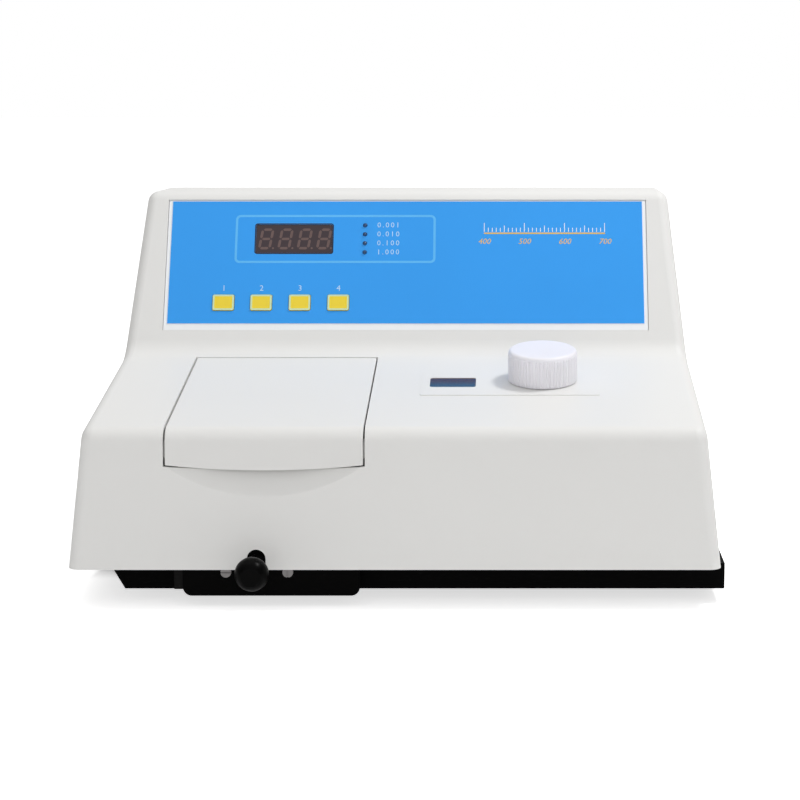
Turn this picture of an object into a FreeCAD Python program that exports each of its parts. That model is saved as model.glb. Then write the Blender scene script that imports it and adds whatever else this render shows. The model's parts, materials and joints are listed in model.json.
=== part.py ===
import FreeCAD, Part
import math
import os

V = FreeCAD.Vector
X_AXIS = V(1, 0, 0)
Y_AXIS = V(0, 1, 0)
Z_AXIS = V(0, 0, 1)

# Bench spectrophotometer. Millimetres, +Z up, +Y to the rear, the front faces -Y.
# The model is drawn with X = 0 on the cover's middle and Y = 0 on the cover's front bottom edge.
# It is moved at export, so that its origin is the middle of its footprint on the table.

# Cutting blocks reach this far past the part, and small ones this far past a face.
BEYOND = 300.0
OVERCUT = 1.0

# Fits between pieces
JOINT_GAP = 0.3
RUNNING_CLEARANCE = 0.05
PRESS_IN_CLEARANCE = 0.1
SCREW_CLEARANCE = 0.3

# Cover moulding
COVER_BOTTOM_Z = 23.2
COVER_HALF_WIDTH = 187.1
COVER_FRONT_HEIGHT = 80.0
FRONT_DRAFT = 6.3
DECK_SLOPE = 7.8
DECK_DEPTH = 150.9
PANEL_LEAN = 28.1
PANEL_FACE_HEIGHT = 111.8
TOP_DEPTH = 85.0
TOP_FALL = 2.5
REAR_DRAFT = 3.0
SIDE_DRAFT = 6.2
PLAN_FLARE = 0.96
COVER_WALL = 2.5
FRONT_ROUND = 9.0
DECK_HOLLOW_ROUND = 17.0
TOP_ROUND = 9.0
SIDE_ROUND = 7.0
COVER_POST_RADIUS = 4.5
COVER_POST_HEIGHT = 24.0
COVER_POST_INSET_X = 12.0
COVER_POST_FRONT_Y = 24.0
COVER_POST_REAR_INSET = 8.0
COVER_RIB_THICKNESS = 2.0
COVER_RIB_HEIGHT = 22.0
COVER_SCREW_RADIUS = 1.5
COVER_SCREW_LENGTH = 12.0
COVER_SCREW_HEAD_RADIUS = 2.8
COVER_SCREW_HEAD_HEIGHT = 1.8
VENT_COUNT = 9
VENT_PITCH = 8.0
VENT_WIDTH = 3.5
VENT_HEIGHT = 46.0
VENT_LEFT_X = -30.0
VENT_BOTTOM_Z = 110.0

# Base tray and feet
TRAY_BOTTOM_Z = 8.2
TRAY_SHEET = 2.0
TRAY_FRONT_Y = 15.3
TRAY_REAR_MARGIN = 6.0
TRAY_RIGHT_STEP = 3.3
TRAY_LEFT_INSET = 21.7
TRAY_LEFT_SLANT = 8.5
TRAY_RIGHT_X = COVER_HALF_WIDTH + TRAY_RIGHT_STEP
TRAY_LEFT_TOP_X = -COVER_HALF_WIDTH + TRAY_LEFT_INSET
TRAY_LEFT_FOOT_X = TRAY_LEFT_TOP_X + TRAY_LEFT_SLANT
TRAY_LIP = 14.0
TRAY_REACH_HOLE_RADIUS = 4.0
FOOT_RADIUS = 9.0
FOOT_TAPER = 1.2
FOOT_WELL_RADIUS = 4.5
FOOT_WELL_DEPTH = 3.5
FOOT_INSET_X = 24.0
FOOT_BEFORE_BEAM = 22.6
FOOT_REAR_INSET = 40.0
FOOT_SCREW_RADIUS = 2.0
FOOT_SCREW_HEAD_RADIUS = 4.0
FOOT_SCREW_HEAD_HEIGHT = 2.3
FOOT_NUT_RADIUS = 3.8
FOOT_NUT_HEIGHT = 2.4
SLOT_WIDTH = 1.0
SLOT_DEPTH = 1.0

# Lid over the sample compartment
LID_LEFT_INSET = 56.3
LID_LEFT_X = LID_LEFT_INSET - COVER_HALF_WIDTH
LID_RIGHT_X = -17.7
LID_WIDTH = LID_RIGHT_X - LID_LEFT_X
LID_MIDDLE_X = (LID_LEFT_X + LID_RIGHT_X) / 2
LID_REAR_SETBACK = 9.8
LID_SKIN = 3.0
LID_SEAM = 1.0
LID_REAR_SEAM = 1.3
LID_REAR_CHAMFER = 1.0
LID_SIDE_ROUND = 0.8
LID_RIB_THICKNESS = 2.0
LID_RIB_DEPTH = 2.2
LIP_END_Z = 82.9
LIP_MIDDLE_Z = 80.0
SCOOP_BOTTOM_Z = 64.4
SCOOP_END_INSET = 3.0
SCOOP_DEPTH = 7.0
SCOOP_WALL = 3.0
SCOOP_DISH_BELOW = 8.0
SCOOP_DISH_UNDER_LID = 4.0
HINGE_INSET_Y = 10.0
HINGE_DROP = 4.2
HINGE_PIN_RADIUS = 1.5
HINGE_PIN_END = 1.0
HINGE_BARREL_RADIUS = 3.2
HINGE_BARREL_LENGTH = 14.0
HINGE_BARREL_INSET = 20.0
HINGE_WEB_THICKNESS = 5.0
HINGE_BRACKET_WIDTH = 5.0
HINGE_BRACKET_RADIUS = 2.8
HINGE_ARM_DROP = 22.0
HINGE_ARM_SETBACK = 1.0
HINGE_ARM_RISE = 0.5

# Control panel
PANEL_HALF_WIDTH = 155.2
PANEL_RECESS_DEPTH = 2.6
PANEL_BELOW_OVERLAY = 4.8
PANEL_ABOVE_OVERLAY = 1.2
PANEL_PLATE_THICKNESS = 2.0
OVERLAY_RISE = 20.4
OVERLAY_HALF_WIDTH = 152.5
OVERLAY_HEIGHT = 84.3
OVERLAY_THICKNESS = 0.4
DISPLAY_X = -73.0
DISPLAY_HEIGHT_ON_PANEL = 58.2
DISPLAY_WIDTH = 49.6
DISPLAY_TALL = 19.9
DISPLAY_CORNER = 1.0
DISPLAY_WINDOW_THICKNESS = 1.6
STATUS_LIGHT_X = -27.2
STATUS_LIGHT_PITCH = 6.27
STATUS_LIGHT_RADIUS = 1.5
STATUS_LIGHT_RISE = 0.2
STATUS_LIGHT_COUNT = 4
KEY_CENTRES_X = [-117.1, -92.9, -68.2, -43.5]
KEY_HEIGHT_ON_PANEL = 14.0
KEY_WIDTH = 13.7
KEY_TALL = 10.6
KEY_CORNER = 1.0
KEY_EDGE_ROUND = 0.3
KEY_PROUD = 1.0
KEY_FLANGE = 1.2
KEY_FLANGE_THICKNESS = 0.8
KEY_FLANGE_SETBACK = 1.0
KEY_STEM_RADIUS = 1.75
KEY_TRAVEL = 0.5
KEY_GAP = 0.3
SWITCH_SIZE = 6.0
SWITCH_HEIGHT = 4.3
SWITCH_CAP_HEIGHT = 0.8
BOARD_THICKNESS = 1.6
BOARD_SETBACK = 12.0
BOARD_MARGIN_X = 13.0
BOARD_LOW = 5.0
BOARD_HIGH = 74.0
BOARD_ROOM = 2.0
STANDOFF_RADIUS = 3.0
STANDOFF_OUTSET = 4.0
STANDOFF_INSET_Y = 8.5
STANDOFF_LAP = 8.0
STANDOFF_LAP_WIDTH = 5.0
STANDOFF_LAP_THICKNESS = 1.5

# Wavelength knob and its window on the deck
KNOB_X = 86.2
KNOB_Y = 101.7
KNOB_RADIUS = 21.0
KNOB_HEIGHT = 19.0
KNOB_CROWN_HEIGHT = 2.5
KNOB_CROWN_STEP = 0.3
KNOB_CROWN_ROUND = 2.0
KNOB_GROOVES = 60
KNOB_GROOVE_DEPTH = 0.5
KNOB_GROOVE_SHARE = 0.22
KNOB_WALL = 3.0
KNOB_BOSS_RADIUS = 7.0
KNOB_HOLLOW_DEPTH = 11.0
KNOB_SHAFT_ENTRY = 12.0
KNOB_DECK_GAP = 1.0
KNOB_SHAFT_RADIUS = 3.0
KNOB_TURNS = 3.0
GRUB_SCREW_RADIUS = 1.5
GRUB_SCREW_LENGTH = 5.0
GRUB_SCREW_RISE = 4.0
SHAFT_BUSH_WALL = 1.5
SHAFT_BUSH_FLANGE_RADIUS = 6.5
SHAFT_BUSH_FLANGE_THICKNESS = 1.5
WINDOW_X = 31.7
WINDOW_Y = 96.5
WINDOW_WIDTH = 27.9
WINDOW_DEPTH = 18.7
WINDOW_CORNER = 2.0
WINDOW_THICKNESS = 1.5
WINDOW_RISE = 0.2
ESCUTCHEON_LEFT_X = 12.3
ESCUTCHEON_RIGHT_X = 120.0
ESCUTCHEON_DEPTH = 50.0
ESCUTCHEON_CORNER = 1.5
ESCUTCHEON_THICKNESS = 0.5

# Wavelength drive under the deck, with heights measured down from the deck's outer face
DIAL_RADIUS = 50.0
DIAL_SIDESTEP = 3.0
DIAL_SPINDLE_X = WINDOW_X + DIAL_SIDESTEP
DIAL_THICKNESS = 1.5
DIAL_DROP = 5.0
DIAL_REST_SHARE = 0.35
SPINDLE_RADIUS = 3.0
SPINDLE_COLLAR_RADIUS = 5.0
GEAR_MODULE = 1.35
GEAR_ADDENDUM = 0.9
GEAR_DEDENDUM = 1.15
TOOTH_ROOT_SHARE = 0.37
TOOTH_TIP_SHARE = 0.13
PINION_TEETH = 18
GEAR_TEETH = 72
GEAR_BACKLASH = 0.25
GEAR_DROP = 7.0
GEAR_FACE = 4.0
GEAR_HUB_RADIUS = 8.0
GEAR_OPENINGS = 4
GEAR_OPENING_RADIUS = 10.0
GEAR_OPENING_PLACE = 28.0
CAM_DROP = 12.5
CAM_THICKNESS = 3.5
CAM_SMALL_RADIUS = 14.0
CAM_LIFT = 8.0
CAM_CLEARANCE = 0.3
CAM_POINTS = 48
CAM_OVERRUN = 0.03
ARM_LENGTH = 45.0
ARM_WIDTH = 6.0
ARM_THICKNESS = 3.0
ARM_HUB_RADIUS = 5.0
ARM_GAP = 0.7
ROLLER_RADIUS = 4.0
ROLLER_PIN_RADIUS = 1.5
TURRET_RADIUS = 3.0
TURRET_COLLAR_HEIGHT = 4.0
TURRET_DROP = 80.0
GRATING_WIDTH = 24.0
GRATING_HEIGHT = 24.0
GRATING_THICKNESS = 6.0
GRATING_LIFT = 1.0
GRATING_HOLDER_FRONT = 5.0
GRATING_HOLDER_REAR = 4.0
BRACKET_DROP = 26.0
BRACKET_SHEET = 3.0
BRACKET_SIDE_MARGIN = 15.0
BRACKET_END_MARGIN = 12.0
BRACKET_LEG_SETBACK = 4.0
BRACKET_FOOT = 8.0

# Sample compartment and its cell carriage
CHAMBER_WALL = 3.0
LID_OVER_CHAMBER = 3.8
CHAMBER_LEFT_X = LID_LEFT_X + LID_OVER_CHAMBER
CHAMBER_RIGHT_X = -22.0
CHAMBER_REAR_SETBACK = 13.9
CHAMBER_FRONT_STEP_Y = 18.5
CHAMBER_STEP_DROP = 10.0
SEAL_THICKNESS = 1.8
BEAM_Z = 52.0
BEAM_WINDOW_RADIUS = 7.0
CELL_SIZE = 12.5
CELL_HEIGHT = 45.0
CELL_WALL = 1.25
CELL_PITCH = 15.0
CELL_COUNT = 4
CELL_SLOT_GAP = 0.3
CELL_BASE_Z = 36.0
CARRIAGE_X = -79.0
CARRIAGE_WALL = 3.0
CARRIAGE_TOP_Z = 62.0
CARRIAGE_REAR_GAP = 0.6
CARRIAGE_BEAM_WIDTH = 8.0
CARRIAGE_BEAM_HEIGHT = 12.0
CARRIAGE_LENGTH = (CELL_COUNT - 1) * CELL_PITCH + CELL_SIZE + 2 * CELL_SLOT_GAP + 2 * CARRIAGE_WALL
RAIL_WIDTH = 4.0
RAIL_HEIGHT = 6.0
RAIL_SPACING = 16.0
RAIL_FRONT_GAP = 2.0
RAIL_CLEARANCE = 0.1
ROD_Z = 26.4
ROD_RADIUS = 3.0
ROD_ENTRY = 8.0
ROD_HOLE_CLEARANCE = 1.0
ROD_KNOB_RADIUS = 9.7
ROD_KNOB_Y = -22.0
ROD_KNOB_FLAT = 8.0
ROD_COLLAR_RADIUS = 5.0
ROD_COLLAR_LENGTH = 13.0
NOTCH_WIDTH = 10.8
NOTCH_TOP_Z = 34.8
NOTCH_REACH = 12.0

# Front plate
PLATE_LEFT_INSET = 9.0
PLATE_LEFT_X = LID_LEFT_X + PLATE_LEFT_INSET
PLATE_RIGHT_X = -20.2
PLATE_BOTTOM_Z = 6.8
PLATE_TOP_Z = 44.0
PLATE_CORNER = 5.0
PLATE_THICKNESS = 2.0
PLATE_SETBACK = 1.9
PLATE_BEND_Z = 24.2
PLATE_SCREWS_X = [-96.8, -61.3]
PLATE_SCREW_Z = 21.0
PLATE_SCREW_RADIUS = 1.5
PLATE_SCREW_HEAD_RADIUS = 3.05
PLATE_SCREW_HEAD_HEIGHT = 1.6
ROD_BUSH_WALL = 2.0
ROD_BUSH_PROUD = 1.2

# Monochromator, lamp house and detector
MONO_LEFT_X = -15.0
MONO_BEFORE_CHAMBER_REAR = 81.0
MONO_DEPTH = 160.0
MONO_TOP_Z = 72.0
MONO_WALL = 3.0
MONO_LID_THICKNESS = 2.0
PORT_RADIUS = 6.0
TURRET_HOLE_CLEARANCE = 2.0
SLIT_PLATE_SIZE = 22.0
SLIT_THICKNESS = 1.0
SLIT_WIDTH = 0.8
SLIT_HEIGHT = 10.0
MIRROR_X = 40.0
MIRROR_RADIUS = 17.0
MIRROR_THICKNESS = 6.0
MIRROR_HOLLOW = 1.5
MIRROR_CURVE_RADIUS = 120.0
MIRROR_MOUNT_WIDTH = 40.0
MIRROR_MOUNT_THICKNESS = 6.0
MIRROR_MOUNT_RISE = 18.0
LAMP_Y = 150.0
LAMP_HOUSE_WIDTH = 27.0
LAMP_HOUSE_DEPTH = 48.0
LAMP_HOUSE_TOP_Z = 82.0
LAMP_HOUSE_SHEET = 2.0
LAMP_HOUSE_LIP_GAP = 1.4
MONO_RIGHT_X = TRAY_RIGHT_X - TRAY_LIP - LAMP_HOUSE_LIP_GAP - LAMP_HOUSE_WIDTH
LAMP_SETBACK = 17.0
LAMP_RADIUS = 4.5
LAMP_LENGTH = 14.0
LAMP_BELOW_BEAM = 6.0
LAMP_PINCH_WIDTH = 8.0
LAMP_PINCH_THICKNESS = 3.0
LAMP_SOCKET_SIZE = 14.0
LAMP_SOCKET_BELOW_BEAM = 14.0
LENS_SETBACK = 6.0
LENS_RADIUS = 8.2
LENS_CURVE_RADIUS = 15.0
LENS_THICKNESS = 5.0
LENS_RING_RADIUS = 9.5
LENS_RING_BORE = 7.9
LENS_RING_LENGTH = 6.5
DETECTOR_WIDTH = 23.0
DETECTOR_DEPTH = 36.0
DETECTOR_RISE = 20.0
DETECTOR_SHEET = 2.0
DIODE_BOARD_SETBACK = 8.0
DIODE_BOARD_WIDTH = 28.0
DIODE_BOARD_RISE = 16.0
DIODE_RADIUS = 5.0
DIODE_LENGTH = 6.0

# Transformer and main board
TRANSFORMER_X = -40.0
TRANSFORMER_BEFORE_REAR = 66.6
CORE_WIDTH = 56.0
CORE_DEPTH = 30.0
CORE_HEIGHT = 48.0
COIL_WIDTH = 36.0
COIL_DEPTH = 50.0
COIL_HEIGHT = 30.0
CORE_FOOT_WIDTH = 76.0
CORE_FOOT_DEPTH = 24.0
CORE_FOOT_THICKNESS = 2.0
MAIN_BOARD_LEFT_GAP = 6.9
MAIN_BOARD_LEFT_X = TRAY_LEFT_FOOT_X + MAIN_BOARD_LEFT_GAP
MAIN_BOARD_RIGHT_X = -78.0
MAIN_BOARD_REAR_GAP = 16.6
MAIN_BOARD_DEPTH = 120.0
MAIN_BOARD_RISE = 8.0
MAIN_BOARD_POST_RADIUS = 3.0
MAIN_BOARD_POST_INSET = 6.0
CAPACITOR_COUNT = 3
CAPACITOR_RADIUS = 6.0
CAPACITOR_HEIGHT = 22.0
CAPACITOR_PITCH = 16.0
CAPACITOR_INSET_X = 10.0
CAPACITOR_INSET_Y = 23.0
CHIP_COUNT = 2
CHIP_WIDTH = 20.0
CHIP_DEPTH = 16.0
CHIP_HEIGHT = 4.4
CHIP_PITCH = 26.0
CHIP_INSET_X = 10.0
CHIP_INSET_Y = 25.0
SINK_WIDTH = 24.0
SINK_DEPTH = 70.0
SINK_HEIGHT = 20.4
SINK_INSET_X = 6.0
SINK_INSET_Y = 15.0
SINK_SLOTS = 5
SINK_SLOT_WIDTH = 6.0
SINK_SLOT_PITCH = 12.0
SINK_BACK = 2.4

# Rear connections
REAR_PANEL_RIGHT_INSET = 28.4
REAR_PANEL_WIDTH = 110.0
REAR_PANEL_LEFT_X = TRAY_RIGHT_X - REAR_PANEL_RIGHT_INSET - REAR_PANEL_WIDTH
REAR_PANEL_BOTTOM_Z = 40.0
REAR_PANEL_HEIGHT = 62.0
REAR_PANEL_MIDDLE_Z = REAR_PANEL_BOTTOM_Z + REAR_PANEL_HEIGHT / 2
REAR_PANEL_BORDER = 6.0
REAR_PANEL_SHEET = 1.5
REAR_PANEL_FOOT = 11.0
REAR_PANEL_SETBACK = 2.0
INLET_FROM_LEFT = 25.0
INLET_WIDTH = 27.0
INLET_TALL = 19.6
INLET_DEPTH = 22.0
INLET_FLANGE_WIDTH = 40.0
INLET_FLANGE_TALL = 24.0
INLET_FLANGE_THICKNESS = 2.2
INLET_SOCKET_WIDTH = 24.4
INLET_SOCKET_TALL = 16.0
INLET_SOCKET_DEPTH = 18.0
INLET_PIN_WIDTH = 2.0
INLET_PIN_TALL = 4.0
INLET_PIN_SPACING = 7.0
INLET_PIN_STAGGER = 2.5
INLET_PIN_SETBACK = 3.0
INLET_EAR_RADIUS = 1.6
INLET_EAR_SPACING = 16.8
ROCKER_FROM_RIGHT = 48.0
ROCKER_WIDTH = 19.0
ROCKER_TALL = 13.0
ROCKER_SWING = 16.0
ROCKER_PIVOT_SETBACK = 5.0
ROCKER_PROUD = 4.6
ROCKER_BACK = 3.0
ROCKER_BACK_INSET = 1.8
ROCKER_END_INSET = 0.9
SWITCH_WALL = 1.5
SWITCH_CASE_DEPTH = 20.0
SWITCH_WELL_DEPTH = 12.0
SWITCH_BEZEL = 3.5
SWITCH_BEZEL_THICKNESS = 1.6
FUSE_FROM_RIGHT = 18.0
FUSE_RADIUS = 6.0
FUSE_LENGTH = 26.0
FUSE_FLANGE = 2.0
FUSE_CAP_STEP = 0.8
FUSE_CAP_LENGTH = 6.0


def box(x0, x1, y0, y1, z0, z1):
    """A block between the given limits."""
    return Part.makeBox(x1 - x0, y1 - y0, z1 - z0, V(x0, y0, z0))


def centred_box(x, y, width, depth, z0, z1):
    """A block centred on x and y, between two heights."""
    return box(x - width / 2, x + width / 2, y - depth / 2, y + depth / 2, z0, z1)


def facing_box(x, z, width, tall, y0, y1):
    """A block centred on x and z, between two depths."""
    return box(x - width / 2, x + width / 2, y0, y1, z - tall / 2, z + tall / 2)


def rod(radius, start, direction, length):
    """A round bar from start along direction."""
    return Part.makeCylinder(radius, length, start, direction)


def tube(outer, inner, start, direction, length):
    """A round tube from start along direction."""
    return rod(outer, start, direction, length).cut(rod(inner, start, direction, length))


def polygon(points):
    """A flat face inside straight edges through points."""
    return Part.Face(Part.makePolygon(points + [points[0]]))


def rounded_rectangle(x, y, width, depth, corner, z0, z1):
    """A plate with round corners, centred on x and y, between two heights."""
    block = centred_box(x, y, width, depth, z0, z1)
    upright = [e for e in block.Edges if abs(e.Vertexes[0].Z - e.Vertexes[1].Z) > (z1 - z0) / 2]
    return block.makeFillet(corner, upright)


def fused(shapes):
    """One solid from touching shapes."""
    whole = shapes[0]
    for shape in shapes[1:]:
        whole = whole.fuse(shape)
    return whole.removeSplitter()


def without(shape, tools):
    """The shape with every tool cut from it."""
    for tool in tools:
        shape = shape.cut(tool)
    return shape


def leaned(shape, angle, y, z):
    """Turns a shape about X and moves its local origin to y, z."""
    shape = shape.copy()
    shape.rotate(V(0, 0, 0), X_AXIS, angle)
    shape.translate(V(0, y, z))
    return shape


def slope_step(angle, length):
    """The run and rise of a line of the given length at an angle above level."""
    return length * math.cos(math.radians(angle)), length * math.sin(math.radians(angle))


def chord_radius(half_chord, rise):
    """Radius of the arc over a chord with the given rise."""
    return (half_chord ** 2 + rise ** 2) / (2 * rise)


# Corners of the cover's side profile, worked out from its heights and slopes.
FRONT_TOP_Y = COVER_FRONT_HEIGHT * math.tan(math.radians(FRONT_DRAFT))
FRONT_TOP_Z = COVER_BOTTOM_Z + COVER_FRONT_HEIGHT
DECK_REAR_Y = FRONT_TOP_Y + DECK_DEPTH
DECK_REAR_Z = FRONT_TOP_Z + DECK_DEPTH * math.tan(math.radians(DECK_SLOPE))
LID_REAR_Y = DECK_REAR_Y - LID_REAR_SETBACK
CHAMBER_REAR_Y = LID_REAR_Y - CHAMBER_REAR_SETBACK
MONO_FRONT_Y = CHAMBER_REAR_Y - MONO_BEFORE_CHAMBER_REAR
MONO_REAR_Y = MONO_FRONT_Y + MONO_DEPTH
PANEL_RUN, PANEL_RISE = slope_step(90 - PANEL_LEAN, PANEL_FACE_HEIGHT)
TOP_FRONT_Y = DECK_REAR_Y + PANEL_RUN
TOP_FRONT_Z = DECK_REAR_Z + PANEL_RISE
TOP_REAR_Y = TOP_FRONT_Y + TOP_DEPTH
TOP_REAR_Z = TOP_FRONT_Z - TOP_DEPTH * math.tan(math.radians(TOP_FALL))
REAR_Y = TOP_REAR_Y + (TOP_REAR_Z - COVER_BOTTOM_Z) * math.tan(math.radians(REAR_DRAFT))
OVERLAY_RUN_Y, OVERLAY_RISE_Z = slope_step(90 - PANEL_LEAN, OVERLAY_RISE)
TRAY_REAR_Y = REAR_Y - TRAY_REAR_MARGIN
REAR_PANEL_FACE_Y = TRAY_REAR_Y - REAR_PANEL_SETBACK
FLOOR_Z = TRAY_BOTTOM_Z + TRAY_SHEET
COVER_FRONT_INNER_Y = COVER_WALL / math.cos(math.radians(FRONT_DRAFT))
PLATE_FRONT_Y = COVER_FRONT_INNER_Y + PLATE_SETBACK
PLATE_BACK_Y = PLATE_FRONT_Y + PLATE_THICKNESS


def deck_z(y):
    """Height of the deck's outer face at depth y."""
    return FRONT_TOP_Z + (y - FRONT_TOP_Y) * math.tan(math.radians(DECK_SLOPE))


def deck_run(y):
    """Distance along the deck's slope from its front edge to depth y."""
    return (y - FRONT_TOP_Y) / math.cos(math.radians(DECK_SLOPE))


def deck_y(run):
    """Depth of a place that lies at a distance along the deck's slope."""
    return FRONT_TOP_Y + run * math.cos(math.radians(DECK_SLOPE))


def on_deck(shape):
    """Places a shape drawn on a level deck, origin at the deck's front edge, onto the slope."""
    return leaned(shape, DECK_SLOPE, FRONT_TOP_Y, FRONT_TOP_Z)


def on_panel(shape):
    """Places a shape drawn flat, origin at the overlay's lower edge, onto the leaning panel face."""
    return leaned(shape, 90 - PANEL_LEAN, DECK_REAR_Y + OVERLAY_RUN_Y, DECK_REAR_Z + OVERLAY_RISE_Z)


def above_deck(drop):
    """All space above a plane that lies a distance below the deck's outer face."""
    return on_deck(box(-BEYOND, BEYOND, -BEYOND, BEYOND, -drop, BEYOND))


def below_deck(drop):
    """All space below a plane that lies a distance below the deck's outer face."""
    return on_deck(box(-BEYOND, BEYOND, -BEYOND, BEYOND, -BEYOND, -drop))


def before_front(y, z):
    """All space before a plane that leans as the cover's front does and passes through y, z."""
    return leaned(box(-BEYOND, BEYOND, -BEYOND, 0, -BEYOND, BEYOND), -FRONT_DRAFT, y, z)


def inset_corner(before, corner, after, inset):
    """The corner of an outline whose two sides are both moved inwards by inset."""
    first = (corner - before).normalize()
    second = (after - corner).normalize()
    inward_first = V(0, first.z, -first.y)
    inward_second = V(0, second.z, -second.y)
    half = (inward_first + inward_second).normalize()
    return corner + half * (inset / half.dot(inward_first))


def flat_sided_solid(low_ring, high_ring):
    """A solid with flat faces between two rings of as many corners."""
    faces = [polygon(low_ring), polygon(high_ring)]
    for i in range(len(low_ring)):
        j = (i + 1) % len(low_ring)
        faces.append(polygon([low_ring[i], low_ring[j], high_ring[j], high_ring[i]]))
    solid = Part.Solid(Part.Shell(faces))
    if solid.Volume < 0:
        solid.reverse()
    return solid


def side_x(y, z, inset):
    """Half width of the cover at depth y and height z."""
    drafted = COVER_HALF_WIDTH - (z - COVER_BOTTOM_Z) * math.tan(math.radians(SIDE_DRAFT))
    return drafted + y * math.tan(math.radians(PLAN_FLARE)) - inset


def side_wedge(inset):
    """The space between the cover's two drafted side faces."""
    margin = 2 * FRONT_ROUND
    front = -margin
    rear = REAR_Y + margin
    rings = []
    for z in (COVER_BOTTOM_Z - margin, TOP_FRONT_Z + margin):
        rings.append([V(-side_x(front, z, inset), front, z), V(side_x(front, z, inset), front, z),
                      V(side_x(rear, z, inset), rear, z), V(-side_x(rear, z, inset), rear, z)])
    return flat_sided_solid(rings[0], rings[1])


def on_side_edge(edge, inset):
    """True for an edge where a side face meets the profile, apart from the bottom edges."""
    first = edge.valueAt(edge.FirstParameter)
    last = edge.valueAt(edge.LastParameter)
    middle = edge.valueAt((edge.FirstParameter + edge.LastParameter) / 2)
    if max(first.z, last.z) < COVER_BOTTOM_Z + 0.01:
        return False
    return all(abs(abs(p.x) - side_x(p.y, p.z, inset)) < 0.05 for p in (first, middle, last))


def cover_form(inset):
    """The cover's outer form, with every face moved inwards by inset and the bottom left level."""
    outline = [
        V(0, 0, COVER_BOTTOM_Z),
        V(0, FRONT_TOP_Y, FRONT_TOP_Z),
        V(0, DECK_REAR_Y, DECK_REAR_Z),
        V(0, TOP_FRONT_Y, TOP_FRONT_Z),
        V(0, TOP_REAR_Y, TOP_REAR_Z),
        V(0, REAR_Y, COVER_BOTTOM_Z),
    ]
    corners = [V(c) for c in outline]
    if inset > 0:
        for i in range(1, len(outline) - 1):
            corners[i] = inset_corner(outline[i - 1], outline[i], outline[i + 1], inset)
        corners[0] = V(0, inset / math.cos(math.radians(FRONT_DRAFT)), COVER_BOTTOM_Z)
        corners[-1] = V(0, REAR_Y - inset / math.cos(math.radians(REAR_DRAFT)), COVER_BOTTOM_Z)
    face = polygon([c - V(BEYOND, 0, 0) for c in corners])
    body = face.extrude(V(2 * BEYOND, 0, 0))
    rounds = [(1, FRONT_ROUND - inset), (2, DECK_HOLLOW_ROUND + inset), (3, TOP_ROUND - inset),
              (4, TOP_ROUND - inset)]
    for index, radius in rounds:
        place = corners[index]
        edges = [e for e in body.Edges
                 if all(abs(v.Y - place.y) < 0.01 and abs(v.Z - place.z) < 0.01 for v in e.Vertexes)]
        body = body.makeFillet(radius, edges)
    body = body.common(side_wedge(inset))
    return body.makeFillet(SIDE_ROUND - inset, [e for e in body.Edges if on_side_edge(e, inset)])


def scoop_cone(grow):
    """The dish of the finger scoop as a flat-floored cone that sinks into the front face."""
    rise = LIP_MIDDLE_Z - SCOOP_BOTTOM_Z
    radius = chord_radius(LID_WIDTH / 2 - SCOOP_END_INSET, rise)
    cone = Part.makeCone(radius + grow, radius - rise + grow, SCOOP_DEPTH + grow)
    cone.rotate(V(0, 0, 0), X_AXIS, -90 - FRONT_DRAFT)
    centre_z = SCOOP_BOTTOM_Z + radius
    front_y = (centre_z - COVER_BOTTOM_Z) * math.tan(math.radians(FRONT_DRAFT))
    cone.translate(V(LID_MIDDLE_X, front_y, centre_z))
    return cone


def lid_outline(seam, rear_seam):
    """The column of space over the sample compartment that the lid fills, grown by the seam."""
    left = LID_LEFT_X - seam
    right = LID_RIGHT_X + seam
    rear = LID_REAR_Y + rear_seam
    front = -FRONT_ROUND
    radius = chord_radius(LID_WIDTH / 2, LIP_END_Z - LIP_MIDDLE_Z)
    column = box(left, right, front, rear, LIP_MIDDLE_Z - seam, TOP_FRONT_Z)
    ends = box(left, right, front, rear, LIP_MIDDLE_Z - seam, LIP_END_Z)
    sweep = rod(radius, V(LID_MIDDLE_X, front, LIP_MIDDLE_Z + radius - seam), Y_AXIS, rear - front)
    return column.cut(ends.cut(sweep))


def cover_post_places():
    """Where the cover's four screw posts stand, as x and y."""
    rear = TRAY_REAR_Y - COVER_POST_REAR_INSET
    left = TRAY_LEFT_TOP_X + COVER_POST_INSET_X
    right = TRAY_RIGHT_X - COVER_POST_INSET_X
    return [(left, COVER_POST_FRONT_Y), (right, COVER_POST_FRONT_Y), (left, rear), (right, rear)]


def cover_posts():
    """Four screw posts, each tied by a web to the nearest front or rear wall."""
    pieces = []
    low = COVER_BOTTOM_Z + OVERCUT
    for x, y in cover_post_places():
        wall_y = COVER_WALL / 2 if y < REAR_Y / 2 else REAR_Y - COVER_WALL / 2
        pieces.append(rod(COVER_POST_RADIUS, V(x, y, COVER_BOTTOM_Z), Z_AXIS, COVER_POST_HEIGHT))
        pieces.append(box(x - COVER_RIB_THICKNESS / 2, x + COVER_RIB_THICKNESS / 2, min(y, wall_y),
                          max(y, wall_y), low, low + COVER_RIB_HEIGHT))
    return pieces


def cover_vents():
    """A row of upright cooling slots through the rear wall."""
    slots = []
    for i in range(VENT_COUNT):
        x = VENT_LEFT_X + i * VENT_PITCH
        slots.append(box(x, x + VENT_WIDTH, TOP_REAR_Y - TOP_ROUND, REAR_Y + OVERCUT, VENT_BOTTOM_Z,
                         VENT_BOTTOM_Z + VENT_HEIGHT))
    return slots


def panel_recess():
    """The shallow recess in the leaning face that takes the panel plate."""
    return on_panel(box(-PANEL_HALF_WIDTH, PANEL_HALF_WIDTH, -PANEL_BELOW_OVERLAY,
                        OVERLAY_HEIGHT + PANEL_ABOVE_OVERLAY, -PANEL_RECESS_DEPTH, TOP_ROUND))


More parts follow.
